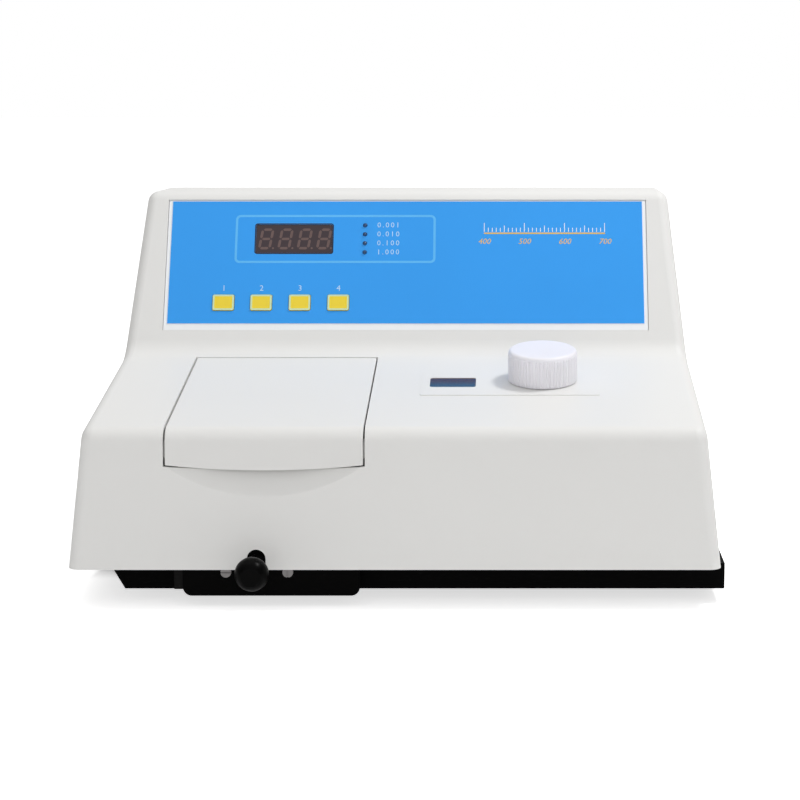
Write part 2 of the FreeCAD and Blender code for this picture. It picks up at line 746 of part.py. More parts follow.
def recess_backing():
    """The wall behind the panel recess, as thick as the rest of the cover."""
    half = PANEL_HALF_WIDTH + COVER_WALL
    return on_panel(box(-half, half, -PANEL_BELOW_OVERLAY - COVER_WALL,
                        OVERLAY_HEIGHT + PANEL_ABOVE_OVERLAY + COVER_WALL,
                        -PANEL_RECESS_DEPTH - COVER_WALL, -COVER_WALL / 2))


def board_window():
    """The opening behind the panel that the display board looks through."""
    room = BOARD_ROOM
    left, right = board_sides()
    return on_panel(box(left - room, right + room, BOARD_LOW - room, BOARD_HIGH + room, -BOARD_SETBACK, 0))


def scoop_dish():
    """The dished wall that closes the cover's front under the lid's lip."""
    top = FRONT_TOP_Z - LID_SKIN - SCOOP_DISH_UNDER_LID
    half = LID_WIDTH / 2 + LID_SEAM + COVER_WALL
    block = box(LID_MIDDLE_X - half, LID_MIDDLE_X + half, 0, 2 * CHAMBER_FRONT_STEP_Y,
                SCOOP_BOTTOM_Z - SCOOP_DISH_BELOW, top)
    return block.common(scoop_cone(SCOOP_WALL))


def lid_opening():
    """What the lid's opening takes out of the cover, down to the dish and through the skin."""
    column = lid_outline(LID_SEAM, LID_REAR_SEAM)
    above_dish = box(-BEYOND, BEYOND, -BEYOND, BEYOND, FRONT_TOP_Z - LID_SKIN - SCOOP_DISH_UNDER_LID, BEYOND)
    return column.common(above_dish).fuse(column.cut(cover_form(LID_SKIN + LID_SEAM)))


def rod_notch():
    """The arched notch in the bottom edge that the pull rod leaves through."""
    arch = NOTCH_WIDTH / 2
    centre_z = NOTCH_TOP_Z - arch
    notch = box(CARRIAGE_X - arch, CARRIAGE_X + arch, -OVERCUT, NOTCH_REACH, COVER_BOTTOM_Z - OVERCUT, centre_z)
    return notch.fuse(rod(arch, V(CARRIAGE_X, -OVERCUT, centre_z), Y_AXIS, NOTCH_REACH + OVERCUT))


def window_opening():
    """The wavelength window's opening through the deck and its escutcheon."""
    return on_deck(rounded_rectangle(WINDOW_X, deck_run(WINDOW_Y), WINDOW_WIDTH, WINDOW_DEPTH, WINDOW_CORNER,
                                     -FRONT_ROUND, FRONT_ROUND))


def shaft_opening():
    """The knob shaft's bush hole through the deck and its escutcheon."""
    return on_deck(rod(KNOB_SHAFT_RADIUS + SHAFT_BUSH_WALL, V(KNOB_X, deck_run(KNOB_Y), -FRONT_ROUND), Z_AXIS,
                       2 * FRONT_ROUND))


def make_cover():
    """The white cover: a thin drafted shell with the panel recess, lid opening, scoop and rear cut-outs."""
    outer = cover_form(0)
    shell = outer.cut(cover_form(COVER_WALL))
    shell = without(shell.fuse(recess_backing().common(outer)), [panel_recess(), board_window()])
    half = LID_WIDTH / 2 + LID_SEAM
    scoop = scoop_cone(0).common(box(LID_MIDDLE_X - half, LID_MIDDLE_X + half, -BEYOND, BEYOND, 0, BEYOND))
    shell = without(shell.fuse(scoop_dish().common(outer)), [scoop, lid_opening()])
    rear_window = box(REAR_PANEL_LEFT_X, REAR_PANEL_LEFT_X + REAR_PANEL_WIDTH, TOP_REAR_Y - TOP_ROUND,
                      REAR_Y + OVERCUT, REAR_PANEL_BOTTOM_Z, REAR_PANEL_BOTTOM_Z + REAR_PANEL_HEIGHT)
    shell = without(shell, [rod_notch(), window_opening(), shaft_opening(), rear_window] + cover_vents())
    screw_holes = [rod(COVER_SCREW_RADIUS, V(x, y, COVER_BOTTOM_Z - OVERCUT), Z_AXIS,
                       COVER_SCREW_LENGTH + 2 * OVERCUT) for x, y in cover_post_places()]
    return without(fused([shell] + [p.common(outer) for p in cover_posts()]), screw_holes)


def hinge_axis():
    """Depth and height of the lid's hinge axis."""
    y = LID_REAR_Y - HINGE_INSET_Y
    return y, deck_z(y) - HINGE_DROP


def barrel_starts():
    """Left ends of the lid's two hinge barrels."""
    return [LID_LEFT_X + HINGE_BARREL_INSET,
            LID_RIGHT_X - HINGE_BARREL_INSET - HINGE_BARREL_LENGTH]


def bracket_starts():
    """Left ends of the two hinge brackets, outside the lid's barrels."""
    left, right = barrel_starts()
    return [left - HINGE_BRACKET_WIDTH - JOINT_GAP, right + HINGE_BARREL_LENGTH + JOINT_GAP]


def lid_barrel(x):
    """A hinge barrel on its web under the lid's skin."""
    y, z = hinge_axis()
    barrel = rod(HINGE_BARREL_RADIUS, V(x, y, z), X_AXIS, HINGE_BARREL_LENGTH)
    web = box(x, x + HINGE_BARREL_LENGTH, y - HINGE_WEB_THICKNESS / 2, y + HINGE_WEB_THICKNESS / 2, z,
              deck_z(y) - LID_SKIN / 2)
    return fused([barrel, web])


def lid_rib(x):
    """A stiffening rib under the lid's skin, inside the seal, from the front to the hinge."""
    half = LID_RIB_THICKNESS / 2
    clear = CHAMBER_WALL + LID_RIB_THICKNESS
    rib = box(x - half, x + half, CHAMBER_FRONT_STEP_Y + clear, CHAMBER_REAR_Y - clear, LIP_MIDDLE_Z,
              TOP_FRONT_Z)
    return rib.cut(below_deck(LID_SKIN + LID_RIB_DEPTH)).common(cover_form(LID_SKIN / 2))


def lid_side_edges(skin):
    """The upper edges of the lid skin's two sides, down to the lip at the front."""
    underside = cover_form(LID_SKIN / 2)
    edges = []
    for edge in skin.Edges:
        middle = edge.valueAt((edge.FirstParameter + edge.LastParameter) / 2)
        beside = min(abs(middle.x - LID_LEFT_X), abs(middle.x - LID_RIGHT_X)) < 0.01
        if beside and edge.BoundBox.XLength < 0.01 and not underside.isInside(middle, 0.01, True):
            edges.append(edge)
    return edges


def make_lid():
    """The sample lid: a skin that follows the deck and turns down over the front edge, with two barrels."""
    y, z = hinge_axis()
    skin = cover_form(0).common(lid_outline(0, 0)).cut(cover_form(LID_SKIN))
    rear_edge = [e for e in skin.Edges if abs(e.Length - LID_WIDTH) < 0.01
                 and abs(e.Vertexes[0].Y - LID_REAR_Y) < 0.01 and e.Vertexes[0].Z > z + HINGE_DROP]
    skin = skin.makeChamfer(LID_REAR_CHAMFER, rear_edge)
    skin = skin.makeFillet(LID_SIDE_ROUND, lid_side_edges(skin))
    barrels = []
    for x in barrel_starts():
        barrels += [lid_barrel(x), lid_rib(x + HINGE_BARREL_LENGTH / 2)]
    bore = rod(HINGE_PIN_RADIUS + RUNNING_CLEARANCE, V(LID_LEFT_X, y, z), X_AXIS, LID_WIDTH)
    # Shallow pockets in the underside let the brackets' rings turn inside the skin.
    pockets = [rod(HINGE_BRACKET_RADIUS + JOINT_GAP, V(x - JOINT_GAP, y, z), X_AXIS,
                   HINGE_BRACKET_WIDTH + JOINT_GAP) for x in bracket_starts()]
    return without(fused([skin] + barrels), [bore] + pockets)


def make_hinge_pin():
    """The pin through both brackets and both of the lid's barrels."""
    y, z = hinge_axis()
    left, right = bracket_starts()
    length = right + HINGE_BRACKET_WIDTH - left + 2 * HINGE_PIN_END
    return rod(HINGE_PIN_RADIUS, V(left - HINGE_PIN_END, y, z), X_AXIS, length)


def make_hinge_brackets():
    """Two brackets on the chamber's rear wall, each with a ring round the pin."""
    y, z = hinge_axis()
    brackets = []
    for x in bracket_starts():
        arm = box(x, x + HINGE_BRACKET_WIDTH, CHAMBER_REAR_Y, y - HINGE_ARM_SETBACK, z - HINGE_ARM_DROP,
                  z + HINGE_ARM_RISE)
        ring = rod(HINGE_BRACKET_RADIUS, V(x, y, z), X_AXIS, HINGE_BRACKET_WIDTH)
        bore = rod(HINGE_PIN_RADIUS, V(x - OVERCUT, y, z), X_AXIS, HINGE_BRACKET_WIDTH + 2 * OVERCUT)
        brackets.append(fused([arm, ring]).cut(bore))
    return Part.Compound(brackets)


def make_chamber():
    """The black sample chamber: an open box whose rim follows the lid, with beam windows in both sides."""
    left = CHAMBER_LEFT_X
    right = CHAMBER_RIGHT_X
    front = PLATE_BACK_Y
    shelf_z = SCOOP_BOTTOM_Z - CHAMBER_STEP_DROP
    step_back = CHAMBER_FRONT_STEP_Y + CHAMBER_WALL
    above_rim = above_deck(LID_SKIN + SEAL_THICKNESS + JOINT_GAP)
    outer = box(left, right, front, CHAMBER_REAR_Y, FLOOR_Z, DECK_REAR_Z)
    inner = box(left + CHAMBER_WALL, right - CHAMBER_WALL, front + CHAMBER_WALL, CHAMBER_REAR_Y - CHAMBER_WALL,
                FLOOR_Z + CHAMBER_WALL, TOP_FRONT_Z)
    # The upper front steps back behind the scoop's dish.
    scoop_room = box(-BEYOND, BEYOND, -BEYOND, CHAMBER_FRONT_STEP_Y, shelf_z, BEYOND)
    step = box(left, right, CHAMBER_FRONT_STEP_Y, step_back, shelf_z - CHAMBER_WALL, DECK_REAR_Z)
    shelf = box(left, right, front, step_back, shelf_z - CHAMBER_WALL, shelf_z)
    chamber = fused([without(outer, [inner, scoop_room, above_rim]), step.cut(above_rim), shelf])
    chamber = chamber.cut(before_front(COVER_FRONT_INNER_Y + JOINT_GAP, COVER_BOTTOM_Z))
    beam = rod(BEAM_WINDOW_RADIUS, V(left - OVERCUT, beam_y(), BEAM_Z), X_AXIS, right - left + 2 * OVERCUT)
    holes = [rod(ROD_RADIUS + ROD_HOLE_CLEARANCE, V(CARRIAGE_X, front - OVERCUT, ROD_Z), Y_AXIS,
                 CHAMBER_WALL + 2 * OVERCUT)]
    holes += [rod(PLATE_SCREW_RADIUS, V(x, front - OVERCUT, PLATE_SCREW_Z), Y_AXIS, CHAMBER_WALL)
              for x in PLATE_SCREWS_X]
    return without(chamber, [beam] + holes)


def make_seal():
    """The rubber seal on the chamber's sloped rim, which the closed lid rests on."""
    drop = LID_SKIN + JOINT_GAP
    slab = above_deck(drop + SEAL_THICKNESS).cut(above_deck(drop))
    wall = CHAMBER_WALL
    ring = box(CHAMBER_LEFT_X, CHAMBER_RIGHT_X, CHAMBER_FRONT_STEP_Y, CHAMBER_REAR_Y, BEAM_Z, DECK_REAR_Z)
    ring = ring.cut(box(CHAMBER_LEFT_X + wall, CHAMBER_RIGHT_X - wall, CHAMBER_FRONT_STEP_Y + wall,
                        CHAMBER_REAR_Y - wall, BEAM_Z - OVERCUT, TOP_FRONT_Z))
    return slab.common(ring)


def make_front_plate():
    """The black plate that hangs below the cover's front edge and leans back inside it."""
    plate = box(PLATE_LEFT_X, PLATE_RIGHT_X, PLATE_FRONT_Y, PLATE_BACK_Y, PLATE_BOTTOM_Z, PLATE_TOP_Z)
    low = [e for e in plate.Edges
           if e.Length < PLATE_THICKNESS + 0.01 and abs(e.Vertexes[0].Z - PLATE_BOTTOM_Z) < 0.01]
    plate = plate.makeFillet(PLATE_CORNER, low).cut(before_front(PLATE_FRONT_Y, PLATE_BEND_Z))
    start = PLATE_FRONT_Y - OVERCUT
    length = PLATE_THICKNESS + 2 * OVERCUT
    holes = [rod(PLATE_SCREW_RADIUS + SCREW_CLEARANCE, V(x, start, PLATE_SCREW_Z), Y_AXIS, length)
             for x in PLATE_SCREWS_X]
    holes.append(rod(ROD_RADIUS + ROD_BUSH_WALL, V(CARRIAGE_X, start, ROD_Z), Y_AXIS, length))
    return without(plate, holes)


def make_rod_bush():
    """The plastic bush in the front plate that guides the pull rod."""
    return tube(ROD_RADIUS + ROD_BUSH_WALL, ROD_RADIUS + RUNNING_CLEARANCE,
                V(CARRIAGE_X, PLATE_FRONT_Y - ROD_BUSH_PROUD, ROD_Z), Y_AXIS, PLATE_THICKNESS + ROD_BUSH_PROUD)


def make_plate_screws():
    """Two slotted screws through the front plate into the chamber, their slots a quarter turn apart."""
    screws = []
    face = PLATE_FRONT_Y - PLATE_SCREW_HEAD_HEIGHT
    reach = 2 * PLATE_SCREW_HEAD_RADIUS + OVERCUT
    for x, size in zip(PLATE_SCREWS_X, ((reach, SLOT_WIDTH), (SLOT_WIDTH, reach))):
        head = rod(PLATE_SCREW_HEAD_RADIUS, V(x, face, PLATE_SCREW_Z), Y_AXIS, PLATE_SCREW_HEAD_HEIGHT)
        slot = facing_box(x, PLATE_SCREW_Z, size[0], size[1], face - OVERCUT, face + SLOT_DEPTH)
        shank = rod(PLATE_SCREW_RADIUS, V(x, face + SLOT_DEPTH, PLATE_SCREW_Z), Y_AXIS,
                    PLATE_SCREW_HEAD_HEIGHT - SLOT_DEPTH + PLATE_THICKNESS + CHAMBER_WALL / 2)
        screws.append(fused([head.cut(slot), shank]))
    return Part.Compound(screws)


def carriage_front():
    """Front face of the cell carriage when it is pushed in."""
    return CHAMBER_REAR_Y - CHAMBER_WALL - CARRIAGE_REAR_GAP - CARRIAGE_LENGTH


def cell_centre(i):
    """Depth of the middle of cell i, counted from the front."""
    return carriage_front() + CARRIAGE_WALL + CELL_SLOT_GAP + CELL_SIZE / 2 + i * CELL_PITCH


def beam_y():
    """The light beam passes the front cell when the carriage is pushed in."""
    return cell_centre(0)


def make_carriage():
    """The sliding block with four cell pockets, a beam window through each and the rod's socket."""
    front = carriage_front()
    pocket = CELL_SIZE + 2 * CELL_SLOT_GAP
    width = pocket + 2 * CARRIAGE_WALL
    bottom = FLOOR_Z + CHAMBER_WALL + RAIL_HEIGHT
    block = centred_box(CARRIAGE_X, front + CARRIAGE_LENGTH / 2, width, CARRIAGE_LENGTH, bottom, CARRIAGE_TOP_Z)
    cuts = [rod(ROD_RADIUS, V(CARRIAGE_X, front - OVERCUT, ROD_Z), Y_AXIS, ROD_ENTRY + OVERCUT)]
    for i in range(CELL_COUNT):
        y = cell_centre(i)
        cuts.append(centred_box(CARRIAGE_X, y, pocket, pocket, CELL_BASE_Z, CARRIAGE_TOP_Z + OVERCUT))
        cuts.append(centred_box(CARRIAGE_X, y, width + 2 * OVERCUT, CARRIAGE_BEAM_WIDTH,
                                BEAM_Z - CARRIAGE_BEAM_HEIGHT / 2, BEAM_Z + CARRIAGE_BEAM_HEIGHT / 2))
    return without(block, cuts)


def make_cuvettes():
    """Four square glass cells, open at the top."""
    cells = []
    bore = CELL_SIZE - 2 * CELL_WALL
    top = CELL_BASE_Z + CELL_HEIGHT
    for i in range(CELL_COUNT):
        y = cell_centre(i)
        outer = centred_box(CARRIAGE_X, y, CELL_SIZE, CELL_SIZE, CELL_BASE_Z, top)
        cells.append(outer.cut(centred_box(CARRIAGE_X, y, bore, bore, CELL_BASE_Z + CELL_WALL, top + OVERCUT)))
    return Part.Compound(cells)


def make_carriage_rails():
    """Two rails on the chamber's floor under the carriage."""
    front = PLATE_BACK_Y + CHAMBER_WALL + RAIL_FRONT_GAP
    rear = CHAMBER_REAR_Y - CHAMBER_WALL
    low = FLOOR_Z + CHAMBER_WALL
    rails = [centred_box(CARRIAGE_X + side * RAIL_SPACING / 2, (front + rear) / 2, RAIL_WIDTH, rear - front,
                         low, low + RAIL_HEIGHT - RAIL_CLEARANCE) for side in (-1, 1)]
    return Part.Compound(rails)


def make_pull_rod():
    """The steel rod from the round knob into the carriage."""
    length = carriage_front() + ROD_ENTRY - ROD_KNOB_Y
    return rod(ROD_RADIUS, V(CARRIAGE_X, ROD_KNOB_Y, ROD_Z), Y_AXIS, length)


def make_rod_knob():
    """The round black knob with a small flat in front and a collar behind, bored for the rod."""
    centre = V(CARRIAGE_X, ROD_KNOB_Y, ROD_Z)
    knob = fused([Part.makeSphere(ROD_KNOB_RADIUS, centre),
                  rod(ROD_COLLAR_RADIUS, centre, Y_AXIS, ROD_COLLAR_LENGTH)])
    flat = box(-BEYOND, BEYOND, -BEYOND, ROD_KNOB_Y - ROD_KNOB_FLAT, -BEYOND, BEYOND)
    return without(knob, [flat, rod(ROD_RADIUS, centre, Y_AXIS, ROD_COLLAR_LENGTH + OVERCUT)])


def tray_ring(inset, z, left):
    """Corners of the tray in plan at a height, moved inwards from the left side given."""
    x0 = left + inset
    x1 = TRAY_RIGHT_X - inset
    y0 = TRAY_FRONT_Y + inset
    y1 = TRAY_REAR_Y - inset
    return [V(x0, y0, z), V(x1, y0, z), V(x1, y1, z), V(x0, y1, z)]


def foot_places():
    """Where the four feet stand, as x and y."""
    left = TRAY_LEFT_FOOT_X + FOOT_INSET_X
    right = TRAY_RIGHT_X - FOOT_INSET_X
    front = beam_y() - FOOT_BEFORE_BEAM
    rear = TRAY_REAR_Y - FOOT_REAR_INSET
    return [(left, front), (right, front), (left, rear), (right, rear)]


def make_tray():
    """The black sheet tray: a sloped left side and a lip all round, open where the chamber stands."""
    low = TRAY_BOTTOM_Z
    high = COVER_BOTTOM_Z
    sheet = TRAY_SHEET
    tray = flat_sided_solid(tray_ring(0, low, TRAY_LEFT_FOOT_X), tray_ring(0, high, TRAY_LEFT_TOP_X))
    hollow = flat_sided_solid(tray_ring(sheet, low + sheet, TRAY_LEFT_FOOT_X),
                              tray_ring(sheet, high - sheet, TRAY_LEFT_TOP_X))
    mouth = box(TRAY_LEFT_TOP_X + TRAY_LIP, TRAY_RIGHT_X - TRAY_LIP, TRAY_FRONT_Y + TRAY_LIP,
                TRAY_REAR_Y - TRAY_LIP, high - sheet - OVERCUT, high + OVERCUT)
    chamber_room = box(CHAMBER_LEFT_X - OVERCUT, CHAMBER_RIGHT_X + OVERCUT, TRAY_FRONT_Y - OVERCUT,
                       TRAY_FRONT_Y + TRAY_LIP + OVERCUT, low + sheet, high + OVERCUT)
    floor_cut = sheet + 2 * OVERCUT
    holes = [rod(FOOT_SCREW_RADIUS, V(x, y, low - OVERCUT), Z_AXIS, floor_cut) for x, y in foot_places()]
    for x, y in cover_post_places():
        holes.append(rod(COVER_SCREW_RADIUS + SCREW_CLEARANCE, V(x, y, high - sheet - OVERCUT), Z_AXIS,
                         floor_cut))
        holes.append(rod(TRAY_REACH_HOLE_RADIUS, V(x, y, low - OVERCUT), Z_AXIS, floor_cut))
    return without(tray, [hollow, mouth, chamber_room] + holes)


def make_feet():
    """Four tapered rubber feet, each with a well for its screw."""
    feet = []
    for x, y in foot_places():
        foot = Part.makeCone(FOOT_RADIUS - FOOT_TAPER, FOOT_RADIUS, TRAY_BOTTOM_Z)
        foot.translate(V(x, y, 0))
        well = rod(FOOT_WELL_RADIUS, V(x, y, -OVERCUT), Z_AXIS, FOOT_WELL_DEPTH + OVERCUT)
        hole = rod(FOOT_SCREW_RADIUS, V(x, y, 0), Z_AXIS, TRAY_BOTTOM_Z + OVERCUT)
        feet.append(without(foot, [well, hole]))
    return Part.Compound(feet)


def make_foot_screws():
    """A slotted screw up through each foot and the tray, with its nut on the tray's floor."""
    screws = []
    low = FOOT_WELL_DEPTH - FOOT_SCREW_HEAD_HEIGHT
    for x, y in foot_places():
        head = rod(FOOT_SCREW_HEAD_RADIUS, V(x, y, low), Z_AXIS, FOOT_SCREW_HEAD_HEIGHT)
        slot = centred_box(x, y, 2 * FOOT_SCREW_HEAD_RADIUS + OVERCUT, SLOT_WIDTH, 0, low + SLOT_DEPTH)
        nut = rod(FOOT_NUT_RADIUS, V(x, y, FLOOR_Z), Z_AXIS, FOOT_NUT_HEIGHT)
        shank = rod(FOOT_SCREW_RADIUS, V(x, y, low + SLOT_DEPTH), Z_AXIS,
                    FLOOR_Z + FOOT_NUT_HEIGHT - low - SLOT_DEPTH)
        screws.append(fused([head.cut(slot), shank, nut]))
    return Part.Compound(screws)


def make_cover_screws():
    """Four slotted screws up through the tray's lip into the cover's posts."""
    screws = []
    seat = COVER_BOTTOM_Z - TRAY_SHEET
    low = seat - COVER_SCREW_HEAD_HEIGHT
    for x, y in cover_post_places():
        head = rod(COVER_SCREW_HEAD_RADIUS, V(x, y, low), Z_AXIS, COVER_SCREW_HEAD_HEIGHT)
        slot = centred_box(x, y, 2 * COVER_SCREW_HEAD_RADIUS + OVERCUT, SLOT_WIDTH, 0, low + SLOT_DEPTH)
        shank = rod(COVER_SCREW_RADIUS, V(x, y, low + SLOT_DEPTH), Z_AXIS, COVER_SCREW_LENGTH)
        screws.append(fused([head.cut(slot), shank]))
    return Part.Compound(screws)


# The panel is drawn flat, with heights measured from the cover's leaning face outwards.
PANEL_FACE = PANEL_PLATE_THICKNESS - PANEL_RECESS_DEPTH
BOARD_BACK = -BOARD_SETBACK - BOARD_THICKNESS
KEY_FLANGE_TOP = PANEL_FACE - KEY_FLANGE_SETBACK - KEY_GAP


def board_sides():
    """Left and right edges of the display board, outside the first key and the status lights."""
    return KEY_CENTRES_X[0] - BOARD_MARGIN_X, STATUS_LIGHT_X + BOARD_MARGIN_X


def light_heights():
    """Heights of the status lights on the panel, evenly spaced beside the display."""
    middle = (STATUS_LIGHT_COUNT - 1) / 2
    return [DISPLAY_HEIGHT_ON_PANEL + (i - middle) * STATUS_LIGHT_PITCH for i in range(STATUS_LIGHT_COUNT)]


def panel_holes():
    """The openings that the panel plate and its overlay share: display, lights and keys."""
    low = -FRONT_ROUND
    high = FRONT_ROUND
    holes = [rounded_rectangle(DISPLAY_X, DISPLAY_HEIGHT_ON_PANEL, DISPLAY_WIDTH, DISPLAY_TALL, DISPLAY_CORNER,
                               low, high)]
    holes += [rod(STATUS_LIGHT_RADIUS, V(STATUS_LIGHT_X, y, low), Z_AXIS, high - low) for y in light_heights()]
    holes += [rounded_rectangle(x, KEY_HEIGHT_ON_PANEL, KEY_WIDTH + 2 * KEY_GAP, KEY_TALL + 2 * KEY_GAP,
                                KEY_CORNER + KEY_GAP, low, high) for x in KEY_CENTRES_X]
    return holes


def make_panel_plate():
    """The white plate in the cover's recess, relieved behind each key for the key's flange."""
    half = PANEL_HALF_WIDTH - JOINT_GAP
    plate = box(-half, half, -PANEL_BELOW_OVERLAY + JOINT_GAP, OVERLAY_HEIGHT + PANEL_ABOVE_OVERLAY - JOINT_GAP,
                -PANEL_RECESS_DEPTH, PANEL_FACE)
    spread = 2 * (KEY_FLANGE + KEY_GAP)
    rooms = [centred_box(x, KEY_HEIGHT_ON_PANEL, KEY_WIDTH + spread, KEY_TALL + spread, -BOARD_SETBACK,
                         KEY_FLANGE_TOP + KEY_GAP) for x in KEY_CENTRES_X]
    return on_panel(without(plate, panel_holes() + rooms))


def make_overlay():
    """The blue keypad overlay on the panel plate."""
    sheet = box(-OVERLAY_HALF_WIDTH, OVERLAY_HALF_WIDTH, 0, OVERLAY_HEIGHT, PANEL_FACE,
                PANEL_FACE + OVERLAY_THICKNESS)
    return on_panel(without(sheet, panel_holes()))


def make_key(x):
    """A travelling key: rounded cap, retaining flange behind the plate and a stem to its switch."""
    y = KEY_HEIGHT_ON_PANEL
    top = PANEL_FACE + KEY_PROUD
    cap = rounded_rectangle(x, y, KEY_WIDTH, KEY_TALL, KEY_CORNER, KEY_FLANGE_TOP, top)
    cap = cap.makeFillet(KEY_EDGE_ROUND, [e for e in cap.Edges if all(v.Z > top - 0.01 for v in e.Vertexes)])
    flange = rounded_rectangle(x, y, KEY_WIDTH + 2 * KEY_FLANGE, KEY_TALL + 2 * KEY_FLANGE, KEY_CORNER,
                               KEY_FLANGE_TOP - KEY_FLANGE_THICKNESS, KEY_FLANGE_TOP)
    stem_low = SWITCH_HEIGHT + KEY_TRAVEL + KEY_GAP - BOARD_SETBACK
    stem = rod(KEY_STEM_RADIUS, V(x, y, stem_low), Z_AXIS, KEY_FLANGE_TOP - stem_low)
    return on_panel(fused([cap, flange, stem]))


def make_key_switches():
    """A small press switch on the board behind every key."""
    switches = []
    low = -BOARD_SETBACK
    for x in KEY_CENTRES_X:
        case = centred_box(x, KEY_HEIGHT_ON_PANEL, SWITCH_SIZE, SWITCH_SIZE, low,
                           low + SWITCH_HEIGHT - SWITCH_CAP_HEIGHT)
        cap = rod(KEY_STEM_RADIUS, V(x, KEY_HEIGHT_ON_PANEL, low), Z_AXIS, SWITCH_HEIGHT)
        switches.append(on_panel(fused([case, cap])))
    return Part.Compound(switches)


def make_display_window():
    """The smoked window, flush with the panel plate's face."""
    slack = 2 * PRESS_IN_CLEARANCE
    return on_panel(rounded_rectangle(DISPLAY_X, DISPLAY_HEIGHT_ON_PANEL, DISPLAY_WIDTH - slack,
                                      DISPLAY_TALL - slack, DISPLAY_CORNER - PRESS_IN_CLEARANCE,
                                      PANEL_FACE - DISPLAY_WINDOW_THICKNESS, PANEL_FACE))


def make_display_module():
    """The block of digits between the window and the board."""
    slack = 2 * JOINT_GAP
    return on_panel(centred_box(DISPLAY_X, DISPLAY_HEIGHT_ON_PANEL, DISPLAY_WIDTH - slack, DISPLAY_TALL - slack,
                                -BOARD_SETBACK, PANEL_FACE - DISPLAY_WINDOW_THICKNESS))


def make_status_lights():
    """Four small domed lights that reach from the board through the overlay."""
    lights = []
    radius = STATUS_LIGHT_RADIUS - RUNNING_CLEARANCE
    top = PANEL_FACE + STATUS_LIGHT_RISE
    for y in light_heights():
        dome = Part.makeSphere(radius, V(STATUS_LIGHT_X, y, top))
        stem = rod(radius, V(STATUS_LIGHT_X, y, -BOARD_SETBACK), Z_AXIS, top + BOARD_SETBACK)
        lights.append(on_panel(fused([stem, dome])))
    return Part.Compound(lights)


def make_display_board():
    """The circuit board behind the panel."""
    left, right = board_sides()
    return on_panel(box(left, right, BOARD_LOW, BOARD_HIGH, BOARD_BACK, -BOARD_SETBACK))


def make_standoffs():
    """Four posts on the cover's inner wall, each with a lap under an edge of the board."""
    left, right = board_sides()
    wall_back = -PANEL_RECESS_DEPTH - COVER_WALL
    standoffs = []
    for x in (left - STANDOFF_OUTSET, right + STANDOFF_OUTSET):
        for y in (BOARD_LOW + STANDOFF_INSET_Y, BOARD_HIGH - STANDOFF_INSET_Y):
            post = rod(STANDOFF_RADIUS, V(x, y, BOARD_BACK), Z_AXIS, wall_back - BOARD_BACK)
            lap = centred_box(x, y, 2 * STANDOFF_LAP, STANDOFF_LAP_WIDTH,
                              BOARD_BACK - STANDOFF_LAP_THICKNESS, BOARD_BACK)
            standoffs.append(on_panel(fused([post, lap])))
    return Part.Compound(standoffs)


# The wavelength drive is drawn on a level deck, with Z = 0 on the deck's outer face.
KNOB_RUN = deck_run(KNOB_Y)
KNOB_GRIP_TOP = KNOB_DECK_GAP + KNOB_HEIGHT - KNOB_CROWN_HEIGHT
GEAR_SPACING = GEAR_MODULE * (PINION_TEETH + GEAR_TEETH) / 2
SPINDLE_RUN = KNOB_RUN + math.sqrt(GEAR_SPACING ** 2 - (KNOB_X - DIAL_SPINDLE_X) ** 2)
PIVOT_X = DIAL_SPINDLE_X + ARM_LENGTH
PIVOT_RUN = SPINDLE_RUN + CAM_SMALL_RADIUS + ROLLER_RADIUS + CAM_LIFT / 2
GEAR_LOW = -GEAR_DROP - GEAR_FACE
CAM_LOW = -CAM_DROP - CAM_THICKNESS
ARM_TOP = CAM_LOW - ARM_GAP
ARM_LOW = ARM_TOP - ARM_THICKNESS
BRACKET_LOW = -BRACKET_DROP - BRACKET_SHEET
DIAL_TURN = KNOB_TURNS * 360 * PINION_TEETH / GEAR_TEETH
MESH_ANGLE = math.degrees(math.atan2(SPINDLE_RUN - KNOB_RUN, DIAL_SPINDLE_X - KNOB_X))


def round_points(x, y, places):
    """Points about x, y from pairs of a radius and an angle in radians."""
    return [V(x + radius * math.cos(angle), y + radius * math.sin(angle), 0) for radius, angle in places]


def knob_grip_face():
    """The grip's outline: a circle of narrow lands with a shallow groove between every two."""
    pitch = 2 * math.pi / KNOB_GROOVES
    half = pitch * KNOB_GROOVE_SHARE
    places = []
    for i in range(KNOB_GROOVES):
        middle = i * pitch
        places += [(KNOB_RADIUS, middle - half), (KNOB_RADIUS - KNOB_GROOVE_DEPTH, middle),
                   (KNOB_RADIUS, middle + half)]
    return polygon(round_points(KNOB_X, KNOB_RUN, places))


def make_knob():
    """The white knob: grooved grip, smooth rounded crown, hollow underside and a boss for the shaft."""
    low = KNOB_DECK_GAP
    centre = V(KNOB_X, KNOB_RUN, low)
    grip = knob_grip_face().extrude(V(0, 0, KNOB_GRIP_TOP - low))
    grip.translate(V(0, 0, low))
    crown = rod(KNOB_RADIUS - KNOB_CROWN_STEP, V(KNOB_X, KNOB_RUN, KNOB_GRIP_TOP), Z_AXIS, KNOB_CROWN_HEIGHT)
    rim = [e for e in crown.Edges if all(v.Z > low + KNOB_HEIGHT - 0.01 for v in e.Vertexes)]
    crown = crown.makeFillet(KNOB_CROWN_ROUND, rim)
    hollow = tube(KNOB_RADIUS - KNOB_WALL, KNOB_BOSS_RADIUS, centre, Z_AXIS, KNOB_HOLLOW_DEPTH)
    bore = rod(KNOB_SHAFT_RADIUS, centre, Z_AXIS, KNOB_SHAFT_ENTRY)
    grub_hole = rod(GRUB_SCREW_RADIUS, centre + V(0, 0, GRUB_SCREW_RISE), X_AXIS * -1, KNOB_RADIUS + OVERCUT)
    return on_deck(without(fused([grip, crown]), [hollow, bore, grub_hole]))


